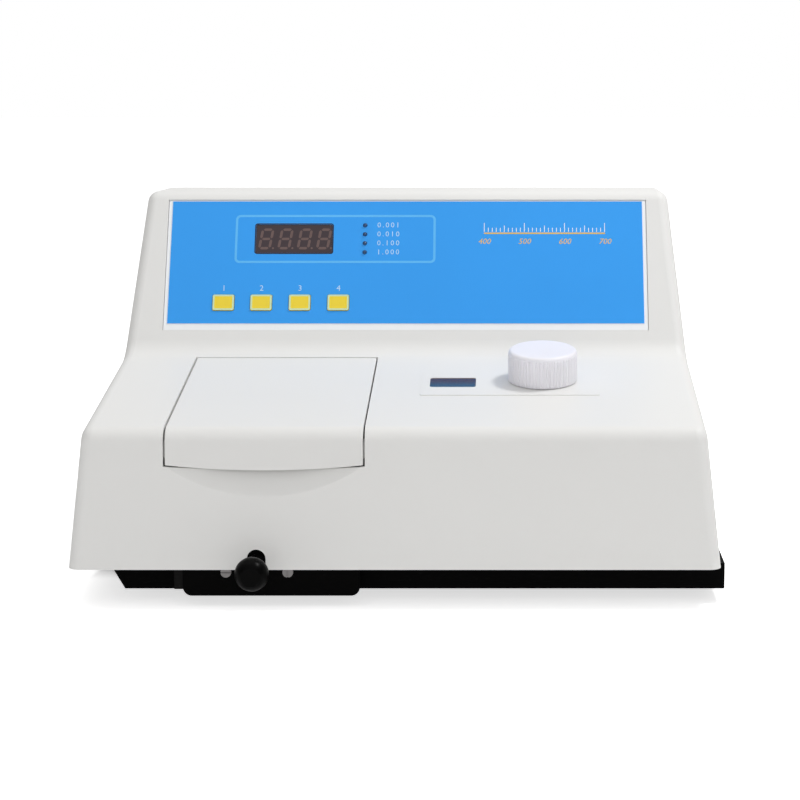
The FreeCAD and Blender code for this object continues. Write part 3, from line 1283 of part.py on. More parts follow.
def make_grub_screw():
    """The grub screw that holds the knob on its shaft."""
    start = V(KNOB_X - KNOB_SHAFT_RADIUS, KNOB_RUN, KNOB_DECK_GAP + GRUB_SCREW_RISE)
    return on_deck(rod(GRUB_SCREW_RADIUS - RUNNING_CLEARANCE, start, X_AXIS * -1, GRUB_SCREW_LENGTH))


def gear_solid(teeth, x, y, turn, low, height):
    """A spur gear with straight-flanked teeth, turned by an angle in degrees."""
    pitch_radius = GEAR_MODULE * teeth / 2
    tip = pitch_radius + GEAR_MODULE * GEAR_ADDENDUM
    root = pitch_radius - GEAR_MODULE * GEAR_DEDENDUM
    pitch = 2 * math.pi / teeth
    slack = GEAR_BACKLASH / (2 * pitch_radius)
    root_half = pitch * TOOTH_ROOT_SHARE - slack
    tip_half = pitch * TOOTH_TIP_SHARE - slack / 2
    places = []
    for i in range(teeth):
        middle = math.radians(turn) + i * pitch
        places += [(root, middle - root_half), (tip, middle - tip_half), (tip, middle + tip_half),
                   (root, middle + root_half)]
    gear = polygon(round_points(x, y, places)).extrude(V(0, 0, height))
    gear.translate(V(0, 0, low))
    return gear


def make_knob_shaft():
    """The knob's shaft with its pinion, down to a step below the bracket."""
    low = BRACKET_LOW - OVERCUT
    shaft = rod(KNOB_SHAFT_RADIUS, V(KNOB_X, KNOB_RUN, low), Z_AXIS, KNOB_DECK_GAP + KNOB_SHAFT_ENTRY - low)
    pinion = gear_solid(PINION_TEETH, KNOB_X, KNOB_RUN, MESH_ANGLE, GEAR_LOW - OVERCUT / 2, GEAR_FACE + OVERCUT)
    return on_deck(fused([shaft, pinion]))


def make_shaft_bush():
    """The flanged bush that guides the knob's shaft in the deck."""
    low = -COVER_WALL - SHAFT_BUSH_FLANGE_THICKNESS
    outer = KNOB_SHAFT_RADIUS + SHAFT_BUSH_WALL
    bush = tube(outer, KNOB_SHAFT_RADIUS + RUNNING_CLEARANCE, V(KNOB_X, KNOB_RUN, low), Z_AXIS, -low)
    flange = tube(SHAFT_BUSH_FLANGE_RADIUS, outer, V(KNOB_X, KNOB_RUN, low), Z_AXIS,
                  SHAFT_BUSH_FLANGE_THICKNESS)
    return on_deck(fused([bush, flange]))


def spindle_bar(radius, low, high):
    """A round bar on the dial spindle's axis between two heights."""
    return rod(radius, V(DIAL_SPINDLE_X, SPINDLE_RUN, low), Z_AXIS, high - low)


def spindle_bore():
    """The hole for the dial spindle through everything that sits on it."""
    return spindle_bar(SPINDLE_RADIUS, -TURRET_DROP, FRONT_ROUND)


def make_dial():
    """The thin wavelength dial under the window."""
    return on_deck(spindle_bar(DIAL_RADIUS, -DIAL_DROP - DIAL_THICKNESS, -DIAL_DROP).cut(spindle_bore()))


def make_dial_gear():
    """The gear under the dial, with its hub and four round openings, half a tooth out of step."""
    turn = MESH_ANGLE + 180 + 180 / GEAR_TEETH
    gear = gear_solid(GEAR_TEETH, DIAL_SPINDLE_X, SPINDLE_RUN, turn, GEAR_LOW, GEAR_FACE)
    hub = spindle_bar(GEAR_HUB_RADIUS, GEAR_LOW - OVERCUT, -DIAL_DROP - DIAL_THICKNESS)
    places = [(GEAR_OPENING_PLACE, 2 * math.pi * k / GEAR_OPENINGS) for k in range(GEAR_OPENINGS)]
    openings = [rod(GEAR_OPENING_RADIUS, p + V(0, 0, GEAR_LOW - OVERCUT), Z_AXIS, GEAR_FACE + 2 * OVERCUT)
                for p in round_points(DIAL_SPINDLE_X, SPINDLE_RUN, places)]
    return on_deck(without(fused([gear, hub]), openings + [spindle_bore()]))


def arm_swing():
    """Swing of the grating arm over the dial's whole range, in degrees."""
    return math.degrees(CAM_LIFT / ARM_LENGTH)


def cam_pitch_point(share):
    """Centre of the roller as the cam sees it when the dial is at a share of its range."""
    angle = math.radians(180 + (0.5 - share) * arm_swing())
    roller_x = PIVOT_X + ARM_LENGTH * math.cos(angle) - DIAL_SPINDLE_X
    roller_y = PIVOT_RUN + ARM_LENGTH * math.sin(angle) - SPINDLE_RUN
    # The dial turns backwards by its share of the range, so the cam sees the roller turn forwards.
    dial = math.radians(share * DIAL_TURN)
    return V(roller_x * math.cos(dial) - roller_y * math.sin(dial),
             roller_x * math.sin(dial) + roller_y * math.cos(dial), 0)


def cam_face():
    """The snail cam's face: the roller's path moved inwards by its radius, then a straight step."""
    points = []
    for i in range(CAM_POINTS + 1):
        share = -CAM_OVERRUN + (1 + 2 * CAM_OVERRUN) * i / CAM_POINTS
        place = cam_pitch_point(share)
        tangent = (cam_pitch_point(share + 0.001) - place).normalize()
        inward = V(-tangent.y, tangent.x, 0)
        if inward.dot(place) > 0:
            inward = inward * -1
        points.append(place + inward * (ROLLER_RADIUS + CAM_CLEARANCE))
    curve = Part.BSplineCurve()
    curve.interpolate(points)
    return Part.Face(Part.Wire([curve.toShape(), Part.makeLine(points[-1], points[0])]))


def make_snail_cam():
    """The snail cam, turned to the dial's resting place."""
    cam = cam_face().extrude(V(0, 0, CAM_THICKNESS))
    cam.rotate(V(0, 0, 0), Z_AXIS, -DIAL_REST_SHARE * DIAL_TURN)
    cam.translate(V(DIAL_SPINDLE_X, SPINDLE_RUN, CAM_LOW))
    return on_deck(cam.cut(spindle_bore()))


def make_dial_spindle():
    """The spindle that carries dial, gear and cam, with a collar that rests on the bracket."""
    bar = spindle_bar(SPINDLE_RADIUS, BRACKET_LOW - 2 * OVERCUT, OVERCUT - DIAL_DROP)
    collar = spindle_bar(SPINDLE_COLLAR_RADIUS, JOINT_GAP - BRACKET_DROP, CAM_LOW)
    return on_deck(fused([bar, collar]))


def at_pivot(shape):
    """Places a shape drawn about the arm's pivot, with the arm along -X, at the arm's rest angle."""
    shape.rotate(V(0, 0, 0), Z_AXIS, (0.5 - DIAL_REST_SHARE) * arm_swing())
    shape.translate(V(PIVOT_X, PIVOT_RUN, 0))
    return on_deck(shape)


def make_grating_arm():
    """The arm with its roller pin, the upright turret shaft with a collar, and the grating's holder."""
    tip = V(-ARM_LENGTH, 0, ARM_LOW)
    bar = box(-ARM_LENGTH, 0, -ARM_WIDTH / 2, ARM_WIDTH / 2, ARM_LOW, ARM_TOP)
    ends = [rod(ARM_HUB_RADIUS, V(0, 0, ARM_LOW), Z_AXIS, ARM_THICKNESS),
            rod(ARM_WIDTH / 2, tip, Z_AXIS, ARM_THICKNESS)]
    pin = rod(ROLLER_PIN_RADIUS, tip, Z_AXIS, -CAM_DROP - ARM_LOW)
    turret = rod(TURRET_RADIUS, V(0, 0, -TURRET_DROP), Z_AXIS, ARM_TOP + TURRET_DROP)
    collar = rod(ARM_HUB_RADIUS, V(0, 0, JOINT_GAP - BRACKET_DROP), Z_AXIS, TURRET_COLLAR_HEIGHT)
    holder = box(-GRATING_WIDTH / 2, GRATING_WIDTH / 2, -GRATING_HOLDER_FRONT, GRATING_HOLDER_REAR,
                 -TURRET_DROP, -TURRET_DROP + GRATING_HEIGHT + 2 * GRATING_LIFT)
    return at_pivot(fused([bar] + ends + [pin, turret, collar, holder]))


def make_roller():
    """The roller on the arm's pin that follows the cam's edge."""
    return at_pivot(tube(ROLLER_RADIUS, ROLLER_PIN_RADIUS + RUNNING_CLEARANCE, V(-ARM_LENGTH, 0, CAM_LOW),
                         Z_AXIS, CAM_THICKNESS))


def make_grating():
    """The diffraction grating's block on the front of its holder."""
    low = GRATING_LIFT - TURRET_DROP
    return at_pivot(box(-GRATING_WIDTH / 2, GRATING_WIDTH / 2, -GRATING_HOLDER_FRONT - GRATING_THICKNESS,
                        -GRATING_HOLDER_FRONT, low, low + GRATING_HEIGHT))


def make_drive_bracket():
    """The bracket over the monochromator: a plate parallel to the deck on two footed side walls."""
    left = DIAL_SPINDLE_X - BRACKET_SIDE_MARGIN
    right = KNOB_X + BRACKET_SIDE_MARGIN
    front = KNOB_RUN - BRACKET_END_MARGIN
    rear = PIVOT_RUN + BRACKET_END_MARGIN
    pieces = [on_deck(box(left, right, front, rear, BRACKET_LOW, -BRACKET_DROP))]
    leg_front = deck_y(front) + BRACKET_LEG_SETBACK
    leg_rear = deck_y(rear)
    low = MONO_TOP_Z + MONO_LID_THICKNESS
    # Each leg ends under the plate, and its foot turns outwards.
    for inner_x, outer_x, foot_x in ((left + BRACKET_SHEET, left, left - BRACKET_FOOT),
                                     (right - BRACKET_SHEET, right, right + BRACKET_FOOT)):
        leg = box(min(inner_x, outer_x), max(inner_x, outer_x), leg_front, leg_rear, low, DECK_REAR_Z)
        pieces.append(leg.common(below_deck(BRACKET_DROP + BRACKET_SHEET)))
        pieces.append(box(min(inner_x, foot_x), max(inner_x, foot_x), leg_front, leg_rear, low,
                          low + BRACKET_SHEET))
    bores = [(KNOB_SHAFT_RADIUS, KNOB_X, KNOB_RUN), (SPINDLE_RADIUS, DIAL_SPINDLE_X, SPINDLE_RUN),
             (TURRET_RADIUS, PIVOT_X, PIVOT_RUN)]
    return without(fused(pieces), [on_deck(rod(radius + RUNNING_CLEARANCE, V(x, run, -TURRET_DROP), Z_AXIS,
                                               TURRET_DROP)) for radius, x, run in bores])


def make_escutcheon():
    """The thin white plate on the deck round the window and under the knob."""
    middle = (ESCUTCHEON_RIGHT_X + ESCUTCHEON_LEFT_X) / 2
    plate = rounded_rectangle(middle, deck_run(WINDOW_Y), ESCUTCHEON_RIGHT_X - ESCUTCHEON_LEFT_X,
                              ESCUTCHEON_DEPTH, ESCUTCHEON_CORNER, 0, ESCUTCHEON_THICKNESS)
    return without(on_deck(plate), [window_opening(), shaft_opening()])


def make_window():
    """The clear pane in the wavelength window."""
    slack = 2 * RUNNING_CLEARANCE
    return on_deck(rounded_rectangle(WINDOW_X, deck_run(WINDOW_Y), WINDOW_WIDTH - slack, WINDOW_DEPTH - slack,
                                     WINDOW_CORNER, WINDOW_RISE - WINDOW_THICKNESS, WINDOW_RISE))


def make_mono_box():
    """The black monochromator box with its two light ports and the mirror's mount."""
    wall = MONO_WALL
    outer = box(MONO_LEFT_X, MONO_RIGHT_X, MONO_FRONT_Y, MONO_REAR_Y, FLOOR_Z, MONO_TOP_Z)
    inner = box(MONO_LEFT_X + wall, MONO_RIGHT_X - wall, MONO_FRONT_Y + wall, MONO_REAR_Y - wall,
                FLOOR_Z + wall, MONO_TOP_Z + OVERCUT)
    ports = [rod(PORT_RADIUS, V(x - OVERCUT, y, BEAM_Z), X_AXIS, wall + 2 * OVERCUT)
             for x, y in ((MONO_LEFT_X, beam_y()), (MONO_RIGHT_X - wall, LAMP_Y))]
    rear = MONO_REAR_Y - wall
    mount = centred_box(MIRROR_X, rear - MIRROR_MOUNT_THICKNESS / 2, MIRROR_MOUNT_WIDTH, MIRROR_MOUNT_THICKNESS,
                        FLOOR_Z + wall, BEAM_Z + MIRROR_MOUNT_RISE)
    return fused([without(outer, [inner] + ports), mount])


def make_mono_lid():
    """The monochromator's lid, with a hole for the turret shaft."""
    lid = box(MONO_LEFT_X, MONO_RIGHT_X, MONO_FRONT_Y, MONO_REAR_Y, MONO_TOP_Z, MONO_TOP_Z + MONO_LID_THICKNESS)
    return lid.cut(on_deck(rod(TURRET_RADIUS + TURRET_HOLE_CLEARANCE, V(PIVOT_X, PIVOT_RUN, -TURRET_DROP),
                               Z_AXIS, TURRET_DROP)))


def make_slits():
    """The exit and entrance slits, on the inner faces of the monochromator's side walls."""
    slits = []
    for x, y in ((MONO_LEFT_X + MONO_WALL + SLIT_THICKNESS / 2, beam_y()),
                 (MONO_RIGHT_X - MONO_WALL - SLIT_THICKNESS / 2, LAMP_Y)):
        plate = centred_box(x, y, SLIT_THICKNESS, SLIT_PLATE_SIZE, BEAM_Z - SLIT_PLATE_SIZE / 2,
                            BEAM_Z + SLIT_PLATE_SIZE / 2)
        slits.append(plate.cut(centred_box(x, y, SLIT_THICKNESS + OVERCUT, SLIT_WIDTH, BEAM_Z - SLIT_HEIGHT / 2,
                                           BEAM_Z + SLIT_HEIGHT / 2)))
    return Part.Compound(slits)


def make_mirror():
    """The round collimating mirror with its hollow face forwards, on its mount."""
    rear = MONO_REAR_Y - MONO_WALL - MIRROR_MOUNT_THICKNESS
    front = rear - MIRROR_THICKNESS
    blank = rod(MIRROR_RADIUS, V(MIRROR_X, front, BEAM_Z), Y_AXIS, MIRROR_THICKNESS)
    centre = V(MIRROR_X, front + MIRROR_HOLLOW - MIRROR_CURVE_RADIUS, BEAM_Z)
    return blank.cut(Part.makeSphere(MIRROR_CURVE_RADIUS, centre))


def make_lamp_house():
    """The lamp house beside the monochromator: an open box with a beam hole and the lamp's socket."""
    left = MONO_RIGHT_X
    middle = left + LAMP_HOUSE_WIDTH / 2
    sheet = LAMP_HOUSE_SHEET
    house = centred_box(middle, LAMP_Y, LAMP_HOUSE_WIDTH, LAMP_HOUSE_DEPTH, FLOOR_Z, LAMP_HOUSE_TOP_Z)
    room = centred_box(middle, LAMP_Y, LAMP_HOUSE_WIDTH - 2 * sheet, LAMP_HOUSE_DEPTH - 2 * sheet,
                       FLOOR_Z + sheet, LAMP_HOUSE_TOP_Z + OVERCUT)
    hole = rod(BEAM_WINDOW_RADIUS, V(left - OVERCUT, LAMP_Y, BEAM_Z), X_AXIS, sheet + 2 * OVERCUT)
    socket = centred_box(left + LAMP_SETBACK, LAMP_Y, LAMP_SOCKET_SIZE, LAMP_SOCKET_SIZE, FLOOR_Z + sheet,
                         BEAM_Z - LAMP_SOCKET_BELOW_BEAM)
    return fused([without(house, [room, hole]), socket])


def make_lamp():
    """The halogen lamp: a round-ended bulb on its flat pinch, which stands on the socket."""
    x = MONO_RIGHT_X + LAMP_SETBACK
    low = BEAM_Z - LAMP_BELOW_BEAM
    bulb = rod(LAMP_RADIUS, V(x, LAMP_Y, low), Z_AXIS, LAMP_LENGTH)
    dome = Part.makeSphere(LAMP_RADIUS, V(x, LAMP_Y, low + LAMP_LENGTH))
    pinch = centred_box(x, LAMP_Y, LAMP_PINCH_WIDTH, LAMP_PINCH_THICKNESS, BEAM_Z - LAMP_SOCKET_BELOW_BEAM,
                        low + OVERCUT)
    return fused([bulb, dome, pinch])


def make_condenser():
    """The double-curved condenser lens in its ring, on the lamp house's beam hole."""
    start = MONO_RIGHT_X + LAMP_HOUSE_SHEET
    centre = MONO_RIGHT_X + LENS_SETBACK
    offset = LENS_CURVE_RADIUS - LENS_THICKNESS / 2
    halves = [Part.makeSphere(LENS_CURVE_RADIUS, V(centre + side * offset, LAMP_Y, BEAM_Z)) for side in (-1, 1)]
    lens = halves[0].common(halves[1]).common(rod(LENS_RADIUS, V(start, LAMP_Y, BEAM_Z), X_AXIS,
                                                  LAMP_HOUSE_WIDTH))
    ring = tube(LENS_RING_RADIUS, LENS_RING_BORE, V(start, LAMP_Y, BEAM_Z), X_AXIS, LENS_RING_LENGTH)
    return fused([ring, lens])


def make_detector_housing():
    """The open-topped detector box on the chamber's left side."""
    middle = CHAMBER_LEFT_X - DETECTOR_WIDTH / 2
    sheet = DETECTOR_SHEET
    top = BEAM_Z + DETECTOR_RISE
    case = centred_box(middle, beam_y(), DETECTOR_WIDTH, DETECTOR_DEPTH, FLOOR_Z, top)
    room = centred_box(middle, beam_y(), DETECTOR_WIDTH - 2 * sheet, DETECTOR_DEPTH - 2 * sheet,
                       FLOOR_Z + sheet, top + OVERCUT)
    hole = rod(BEAM_WINDOW_RADIUS, V(CHAMBER_LEFT_X - sheet - OVERCUT, beam_y(), BEAM_Z), X_AXIS,
               sheet + 2 * OVERCUT)
    return without(case, [room, hole])


def make_diode_board():
    """The photodiode on its upright board, facing the beam."""
    x = CHAMBER_LEFT_X - DETECTOR_WIDTH + DIODE_BOARD_SETBACK
    board = centred_box(x + BOARD_THICKNESS / 2, beam_y(), BOARD_THICKNESS, DIODE_BOARD_WIDTH,
                        FLOOR_Z + DETECTOR_SHEET, BEAM_Z + DIODE_BOARD_RISE)
    return fused([board, rod(DIODE_RADIUS, V(x + BOARD_THICKNESS, beam_y(), BEAM_Z), X_AXIS, DIODE_LENGTH)])


def make_transformer():
    """The mains transformer: iron core, coil through it and a mounting foot."""
    y = TRAY_REAR_Y - TRANSFORMER_BEFORE_REAR

    def stack(width, depth, low, high):
        return centred_box(TRANSFORMER_X, y, width, depth, FLOOR_Z + low, FLOOR_Z + high)

    coil_low = (CORE_HEIGHT - COIL_HEIGHT) / 2
    return fused([stack(CORE_WIDTH, CORE_DEPTH, 0, CORE_HEIGHT),
                  stack(COIL_WIDTH, COIL_DEPTH, coil_low, coil_low + COIL_HEIGHT),
                  stack(CORE_FOOT_WIDTH, CORE_FOOT_DEPTH, 0, CORE_FOOT_THICKNESS)])


def make_main_board():
    """The main board on four posts, with capacitors, two chips and a slotted heat sink."""
    left = MAIN_BOARD_LEFT_X
    right = MAIN_BOARD_RIGHT_X
    rear = TRAY_REAR_Y - MAIN_BOARD_REAR_GAP
    front = rear - MAIN_BOARD_DEPTH
    low = FLOOR_Z + MAIN_BOARD_RISE
    top = low + BOARD_THICKNESS
    parts = [box(left, right, front, rear, low, top)]
    inset = MAIN_BOARD_POST_INSET
    for x in (left + inset, right - inset):
        for y in (front + inset, rear - inset):
            parts.append(rod(MAIN_BOARD_POST_RADIUS, V(x, y, FLOOR_Z), Z_AXIS, MAIN_BOARD_RISE))
    for i in range(CAPACITOR_COUNT):
        place = V(left + CAPACITOR_INSET_X + i * CAPACITOR_PITCH, rear - CAPACITOR_INSET_Y, top)
        parts.append(rod(CAPACITOR_RADIUS, place, Z_AXIS, CAPACITOR_HEIGHT))
    for i in range(CHIP_COUNT):
        x = left + CHIP_INSET_X
        y = front + CHIP_INSET_Y + i * CHIP_PITCH
        parts.append(box(x, x + CHIP_WIDTH, y, y + CHIP_DEPTH, top, top + CHIP_HEIGHT))
    sink_right = right - SINK_INSET_X
    sink_front = front + SINK_INSET_Y
    sink = box(sink_right - SINK_WIDTH, sink_right, sink_front, sink_front + SINK_DEPTH, top, top + SINK_HEIGHT)
    margin = (SINK_DEPTH - (SINK_SLOTS - 1) * SINK_SLOT_PITCH - SINK_SLOT_WIDTH) / 2
    slots = []
    for i in range(SINK_SLOTS):
        y = sink_front + margin + i * SINK_SLOT_PITCH
        slots.append(box(sink_right - SINK_WIDTH + SINK_BACK, sink_right + OVERCUT, y, y + SINK_SLOT_WIDTH,
                         top + SINK_BACK, top + SINK_HEIGHT + OVERCUT))
    return fused(parts + [without(sink, slots)])


def inlet_x():
    """Middle of the mains inlet across the rear panel."""
    return REAR_PANEL_LEFT_X + INLET_FROM_LEFT


def rocker_place():
    """Width, depth and height of the rear panel's outer face at the power rocker."""
    return REAR_PANEL_LEFT_X + REAR_PANEL_WIDTH - ROCKER_FROM_RIGHT, REAR_PANEL_FACE_Y, REAR_PANEL_MIDDLE_Z


def fuse_x():
    """Middle of the fuse holder across the rear panel."""
    return REAR_PANEL_LEFT_X + REAR_PANEL_WIDTH - FUSE_FROM_RIGHT


def panel_block(x, width, tall, behind, proud):
    """A block on the rear panel's middle line, from a distance behind its face to a distance proud of it."""
    face = REAR_PANEL_FACE_Y
    return facing_box(x, REAR_PANEL_MIDDLE_Z, width, tall, face - behind, face + proud)


def panel_rod(x, radius, behind, proud):
    """A round bar through the rear panel's middle line."""
    return rod(radius, V(x, REAR_PANEL_FACE_Y - behind, REAR_PANEL_MIDDLE_Z), Y_AXIS, behind + proud)


def make_rear_panel():
    """The sheet metal rear panel with a turned-in foot and openings for inlet, switch and fuse."""
    face = REAR_PANEL_FACE_Y
    left = REAR_PANEL_LEFT_X - REAR_PANEL_BORDER
    right = REAR_PANEL_LEFT_X + REAR_PANEL_WIDTH + REAR_PANEL_BORDER
    top = REAR_PANEL_BOTTOM_Z + REAR_PANEL_HEIGHT + REAR_PANEL_BORDER
    plate = box(left, right, face - REAR_PANEL_SHEET, face, COVER_BOTTOM_Z, top)
    foot = box(left, right, face - REAR_PANEL_FOOT, face, COVER_BOTTOM_Z, COVER_BOTTOM_Z + REAR_PANEL_SHEET)
    cut = REAR_PANEL_SHEET + OVERCUT
    holes = [panel_block(inlet_x(), INLET_WIDTH, INLET_TALL, cut, OVERCUT),
             panel_block(rocker_place()[0], ROCKER_WIDTH + 2 * SWITCH_WALL, ROCKER_TALL + 2 * SWITCH_WALL,
                         cut, OVERCUT),
             panel_rod(fuse_x(), FUSE_RADIUS, cut, OVERCUT)]
    return without(fused([plate, foot]), holes)


def make_inlet():
    """The mains inlet: a flanged socket with three pins."""
    x = inlet_x()
    body = panel_block(x, INLET_WIDTH, INLET_TALL, INLET_DEPTH, 0)
    flange = panel_block(x, INLET_FLANGE_WIDTH, INLET_FLANGE_TALL, 0, INLET_FLANGE_THICKNESS)
    socket = panel_block(x, INLET_SOCKET_WIDTH, INLET_SOCKET_TALL, INLET_SOCKET_DEPTH,
                         INLET_FLANGE_THICKNESS + OVERCUT)
    ears = [panel_rod(x + side * INLET_EAR_SPACING, INLET_EAR_RADIUS, OVERCUT, INLET_FLANGE_THICKNESS + OVERCUT)
            for side in (-1, 1)]
    pins = []
    for side, step in ((-1, -1), (1, -1), (0, 1)):
        pins.append(facing_box(x + side * INLET_PIN_SPACING, REAR_PANEL_MIDDLE_Z + step * INLET_PIN_STAGGER,
                               INLET_PIN_WIDTH, INLET_PIN_TALL,
                               REAR_PANEL_FACE_Y - INLET_SOCKET_DEPTH - OVERCUT,
                               REAR_PANEL_FACE_Y - INLET_PIN_SETBACK))
    return fused([without(fused([body, flange]), [socket] + ears)] + pins)


def make_switch_housing():
    """The power switch's case and bezel, with a well for the rocker."""
    x = rocker_place()[0]
    case = panel_block(x, ROCKER_WIDTH + 2 * SWITCH_WALL, ROCKER_TALL + 2 * SWITCH_WALL, SWITCH_CASE_DEPTH, 0)
    bezel = panel_block(x, ROCKER_WIDTH + 2 * SWITCH_BEZEL, ROCKER_TALL + 2 * SWITCH_BEZEL, 0,
                        SWITCH_BEZEL_THICKNESS)
    well = panel_block(x, ROCKER_WIDTH + 2 * JOINT_GAP, ROCKER_TALL + 2 * JOINT_GAP, SWITCH_WELL_DEPTH,
                       SWITCH_BEZEL_THICKNESS + OVERCUT)
    return fused([case, bezel]).cut(well)


def make_rocker():
    """The rocker: two slopes that meet in a shallow vee, tipped to its first position."""
    x, face_y, z = rocker_place()
    pivot_y = face_y - ROCKER_PIVOT_SETBACK
    half = ROCKER_WIDTH / 2
    back = half - ROCKER_BACK_INSET
    end = half - ROCKER_END_INSET
    vee_y = pivot_y + ROCKER_PROUD
    end_y = vee_y + math.tan(math.radians(ROCKER_SWING / 2)) * half
    outline = [V(x - back, pivot_y - ROCKER_BACK, 0), V(x + back, pivot_y - ROCKER_BACK, 0),
               V(x + end, end_y, 0), V(x, vee_y, 0), V(x - end, end_y, 0)]
    paddle = polygon(outline).extrude(V(0, 0, ROCKER_TALL))
    paddle.translate(V(0, 0, z - ROCKER_TALL / 2))
    paddle.rotate(V(x, pivot_y, z), Z_AXIS, ROCKER_SWING / 2)
    return paddle


def make_fuse_holder():
    """The round fuse holder with a slotted cap."""
    x = fuse_x()
    proud = FUSE_FLANGE + FUSE_CAP_LENGTH
    barrel = panel_rod(x, FUSE_RADIUS, FUSE_LENGTH, 0)
    flange = panel_rod(x, FUSE_RADIUS + FUSE_FLANGE, 0, FUSE_FLANGE)
    cap = panel_rod(x, FUSE_RADIUS - FUSE_CAP_STEP, 0, proud)
    slot = panel_block(x, 2 * FUSE_RADIUS, SLOT_WIDTH, SLOT_DEPTH - proud, proud + OVERCUT)
    return fused([barrel, flange, cap]).cut(slot)


def build():
    """Makes every piece, roughly in the order in which the instrument is put together."""
    nodes = {
        "base_tray": make_tray(),
        "feet": make_feet(),
        "foot_screws": make_foot_screws(),
        "cover": make_cover(),
        "cover_screws": make_cover_screws(),
        "sample_lid": make_lid(),
        "lid_hinge_pin": make_hinge_pin(),
        "lid_hinge_brackets": make_hinge_brackets(),
        "sample_chamber": make_chamber(),
        "lid_seal": make_seal(),
        "front_plate": make_front_plate(),
        "front_plate_screws": make_plate_screws(),
        "rod_bush": make_rod_bush(),
        "cell_carriage": make_carriage(),
        "cuvettes": make_cuvettes(),
        "carriage_rails": make_carriage_rails(),
        "pull_rod": make_pull_rod(),
        "rod_knob": make_rod_knob(),
        "panel_plate": make_panel_plate(),
        "keypad_overlay": make_overlay(),
        "key_switches": make_key_switches(),
        "display_window": make_display_window(),
        "display_module": make_display_module(),
        "status_lights": make_status_lights(),
        "display_board": make_display_board(),
        "board_standoffs": make_standoffs(),
        "wavelength_knob": make_knob(),
        "knob_grub_screw": make_grub_screw(),
        "knob_shaft": make_knob_shaft(),
        "shaft_bush": make_shaft_bush(),
        "wavelength_dial": make_dial(),
        "dial_gear": make_dial_gear(),
        "snail_cam": make_snail_cam(),
        "dial_spindle": make_dial_spindle(),
        "grating_arm": make_grating_arm(),
        "follower_roller": make_roller(),
        "grating": make_grating(),
        "drive_bracket": make_drive_bracket(),
        "wavelength_escutcheon": make_escutcheon(),
        "wavelength_window": make_window(),
        "monochromator_box": make_mono_box(),
        "monochromator_lid": make_mono_lid(),
        "slits": make_slits(),
        "collimating_mirror": make_mirror(),
        "lamp_housing": make_lamp_house(),
        "lamp": make_lamp(),
        "condenser_lens": make_condenser(),
        "detector_housing": make_detector_housing(),
        "photodiode_board": make_diode_board(),
        "transformer": make_transformer(),
        "main_board": make_main_board(),
        "rear_panel": make_rear_panel(),
        "power_inlet": make_inlet(),
        "power_switch_housing": make_switch_housing(),
        "power_rocker": make_rocker(),
        "fuse_holder": make_fuse_holder(),
    }
    for number, x in enumerate(KEY_CENTRES_X, start=1):
        nodes["key_%d" % number] = make_key(x)
    return nodes


def footprint_middle():
    """Depth of the middle between the rod knob's flat and the cover's rear bottom edge."""
    return (ROD_KNOB_Y - ROD_KNOB_FLAT + REAR_Y) / 2


def export(nodes):
    """Moves the whole instrument so that its origin is the middle of its footprint, and writes each piece."""
    os.makedirs("parts", exist_ok=True)
    for name, shape in nodes.items():
        shape.translate(V(0, -footprint_middle(), 0))
        shape.exportStep("parts/%s.step" % name)
    print("pieces", len(nodes), "middle", round(footprint_middle(), 3))


nodes = build()
export(nodes)
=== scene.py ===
import json
import math

import bmesh
import bpy
from mathutils import Matrix, Vector


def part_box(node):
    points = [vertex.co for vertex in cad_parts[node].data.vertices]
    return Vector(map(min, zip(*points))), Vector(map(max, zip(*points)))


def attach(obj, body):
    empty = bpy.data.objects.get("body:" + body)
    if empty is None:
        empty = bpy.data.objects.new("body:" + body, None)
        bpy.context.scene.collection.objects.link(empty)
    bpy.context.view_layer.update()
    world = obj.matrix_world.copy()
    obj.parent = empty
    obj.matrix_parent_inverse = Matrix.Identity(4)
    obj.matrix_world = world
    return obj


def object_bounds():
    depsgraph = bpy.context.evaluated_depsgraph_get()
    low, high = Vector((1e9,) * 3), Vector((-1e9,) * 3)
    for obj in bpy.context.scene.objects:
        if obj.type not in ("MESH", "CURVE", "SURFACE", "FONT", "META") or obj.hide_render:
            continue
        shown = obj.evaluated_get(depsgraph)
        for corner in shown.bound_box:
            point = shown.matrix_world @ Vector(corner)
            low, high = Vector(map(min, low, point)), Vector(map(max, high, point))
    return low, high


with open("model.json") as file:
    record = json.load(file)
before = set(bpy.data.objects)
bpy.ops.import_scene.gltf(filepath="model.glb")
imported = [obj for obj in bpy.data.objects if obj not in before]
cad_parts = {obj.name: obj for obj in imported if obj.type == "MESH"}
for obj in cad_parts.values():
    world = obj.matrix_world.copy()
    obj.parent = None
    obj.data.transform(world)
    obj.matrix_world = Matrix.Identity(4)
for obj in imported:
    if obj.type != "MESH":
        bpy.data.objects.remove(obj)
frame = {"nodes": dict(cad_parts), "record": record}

CAD_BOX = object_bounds()
MM = 0.001

# Directions of the two sloping faces, read from the joints that stand square to them.
JOINTS = {joint["name"]: joint for joint in frame["record"]["behaviour"]["joints"]}
DECK_NORMAL = Vector(JOINTS["knob_turn"]["axis"]).normalized()
PANEL_NORMAL = -Vector(JOINTS["key_1_press"]["axis"]).normalized()


def face_frame(normal, origin):
    """Matrix from a flat drawing, x to the right and y up the slope, to a face with this normal."""
    right = Vector((1, 0, 0))
    up = normal.cross(right)
    matrix = Matrix((right, up, normal)).transposed().to_4x4()
    matrix.translation = origin
    return matrix


def node_face_frame(node, normal):
    """Frame on the outer face of a thin flat node, with its origin at the middle of the node's face."""
    mesh = frame["nodes"][node].data
    height = max(vertex.co.dot(normal) for vertex in mesh.vertices)
    low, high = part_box(node)
    middle = (low + high) / 2
    return face_frame(normal, middle + normal * (height - middle.dot(normal)))


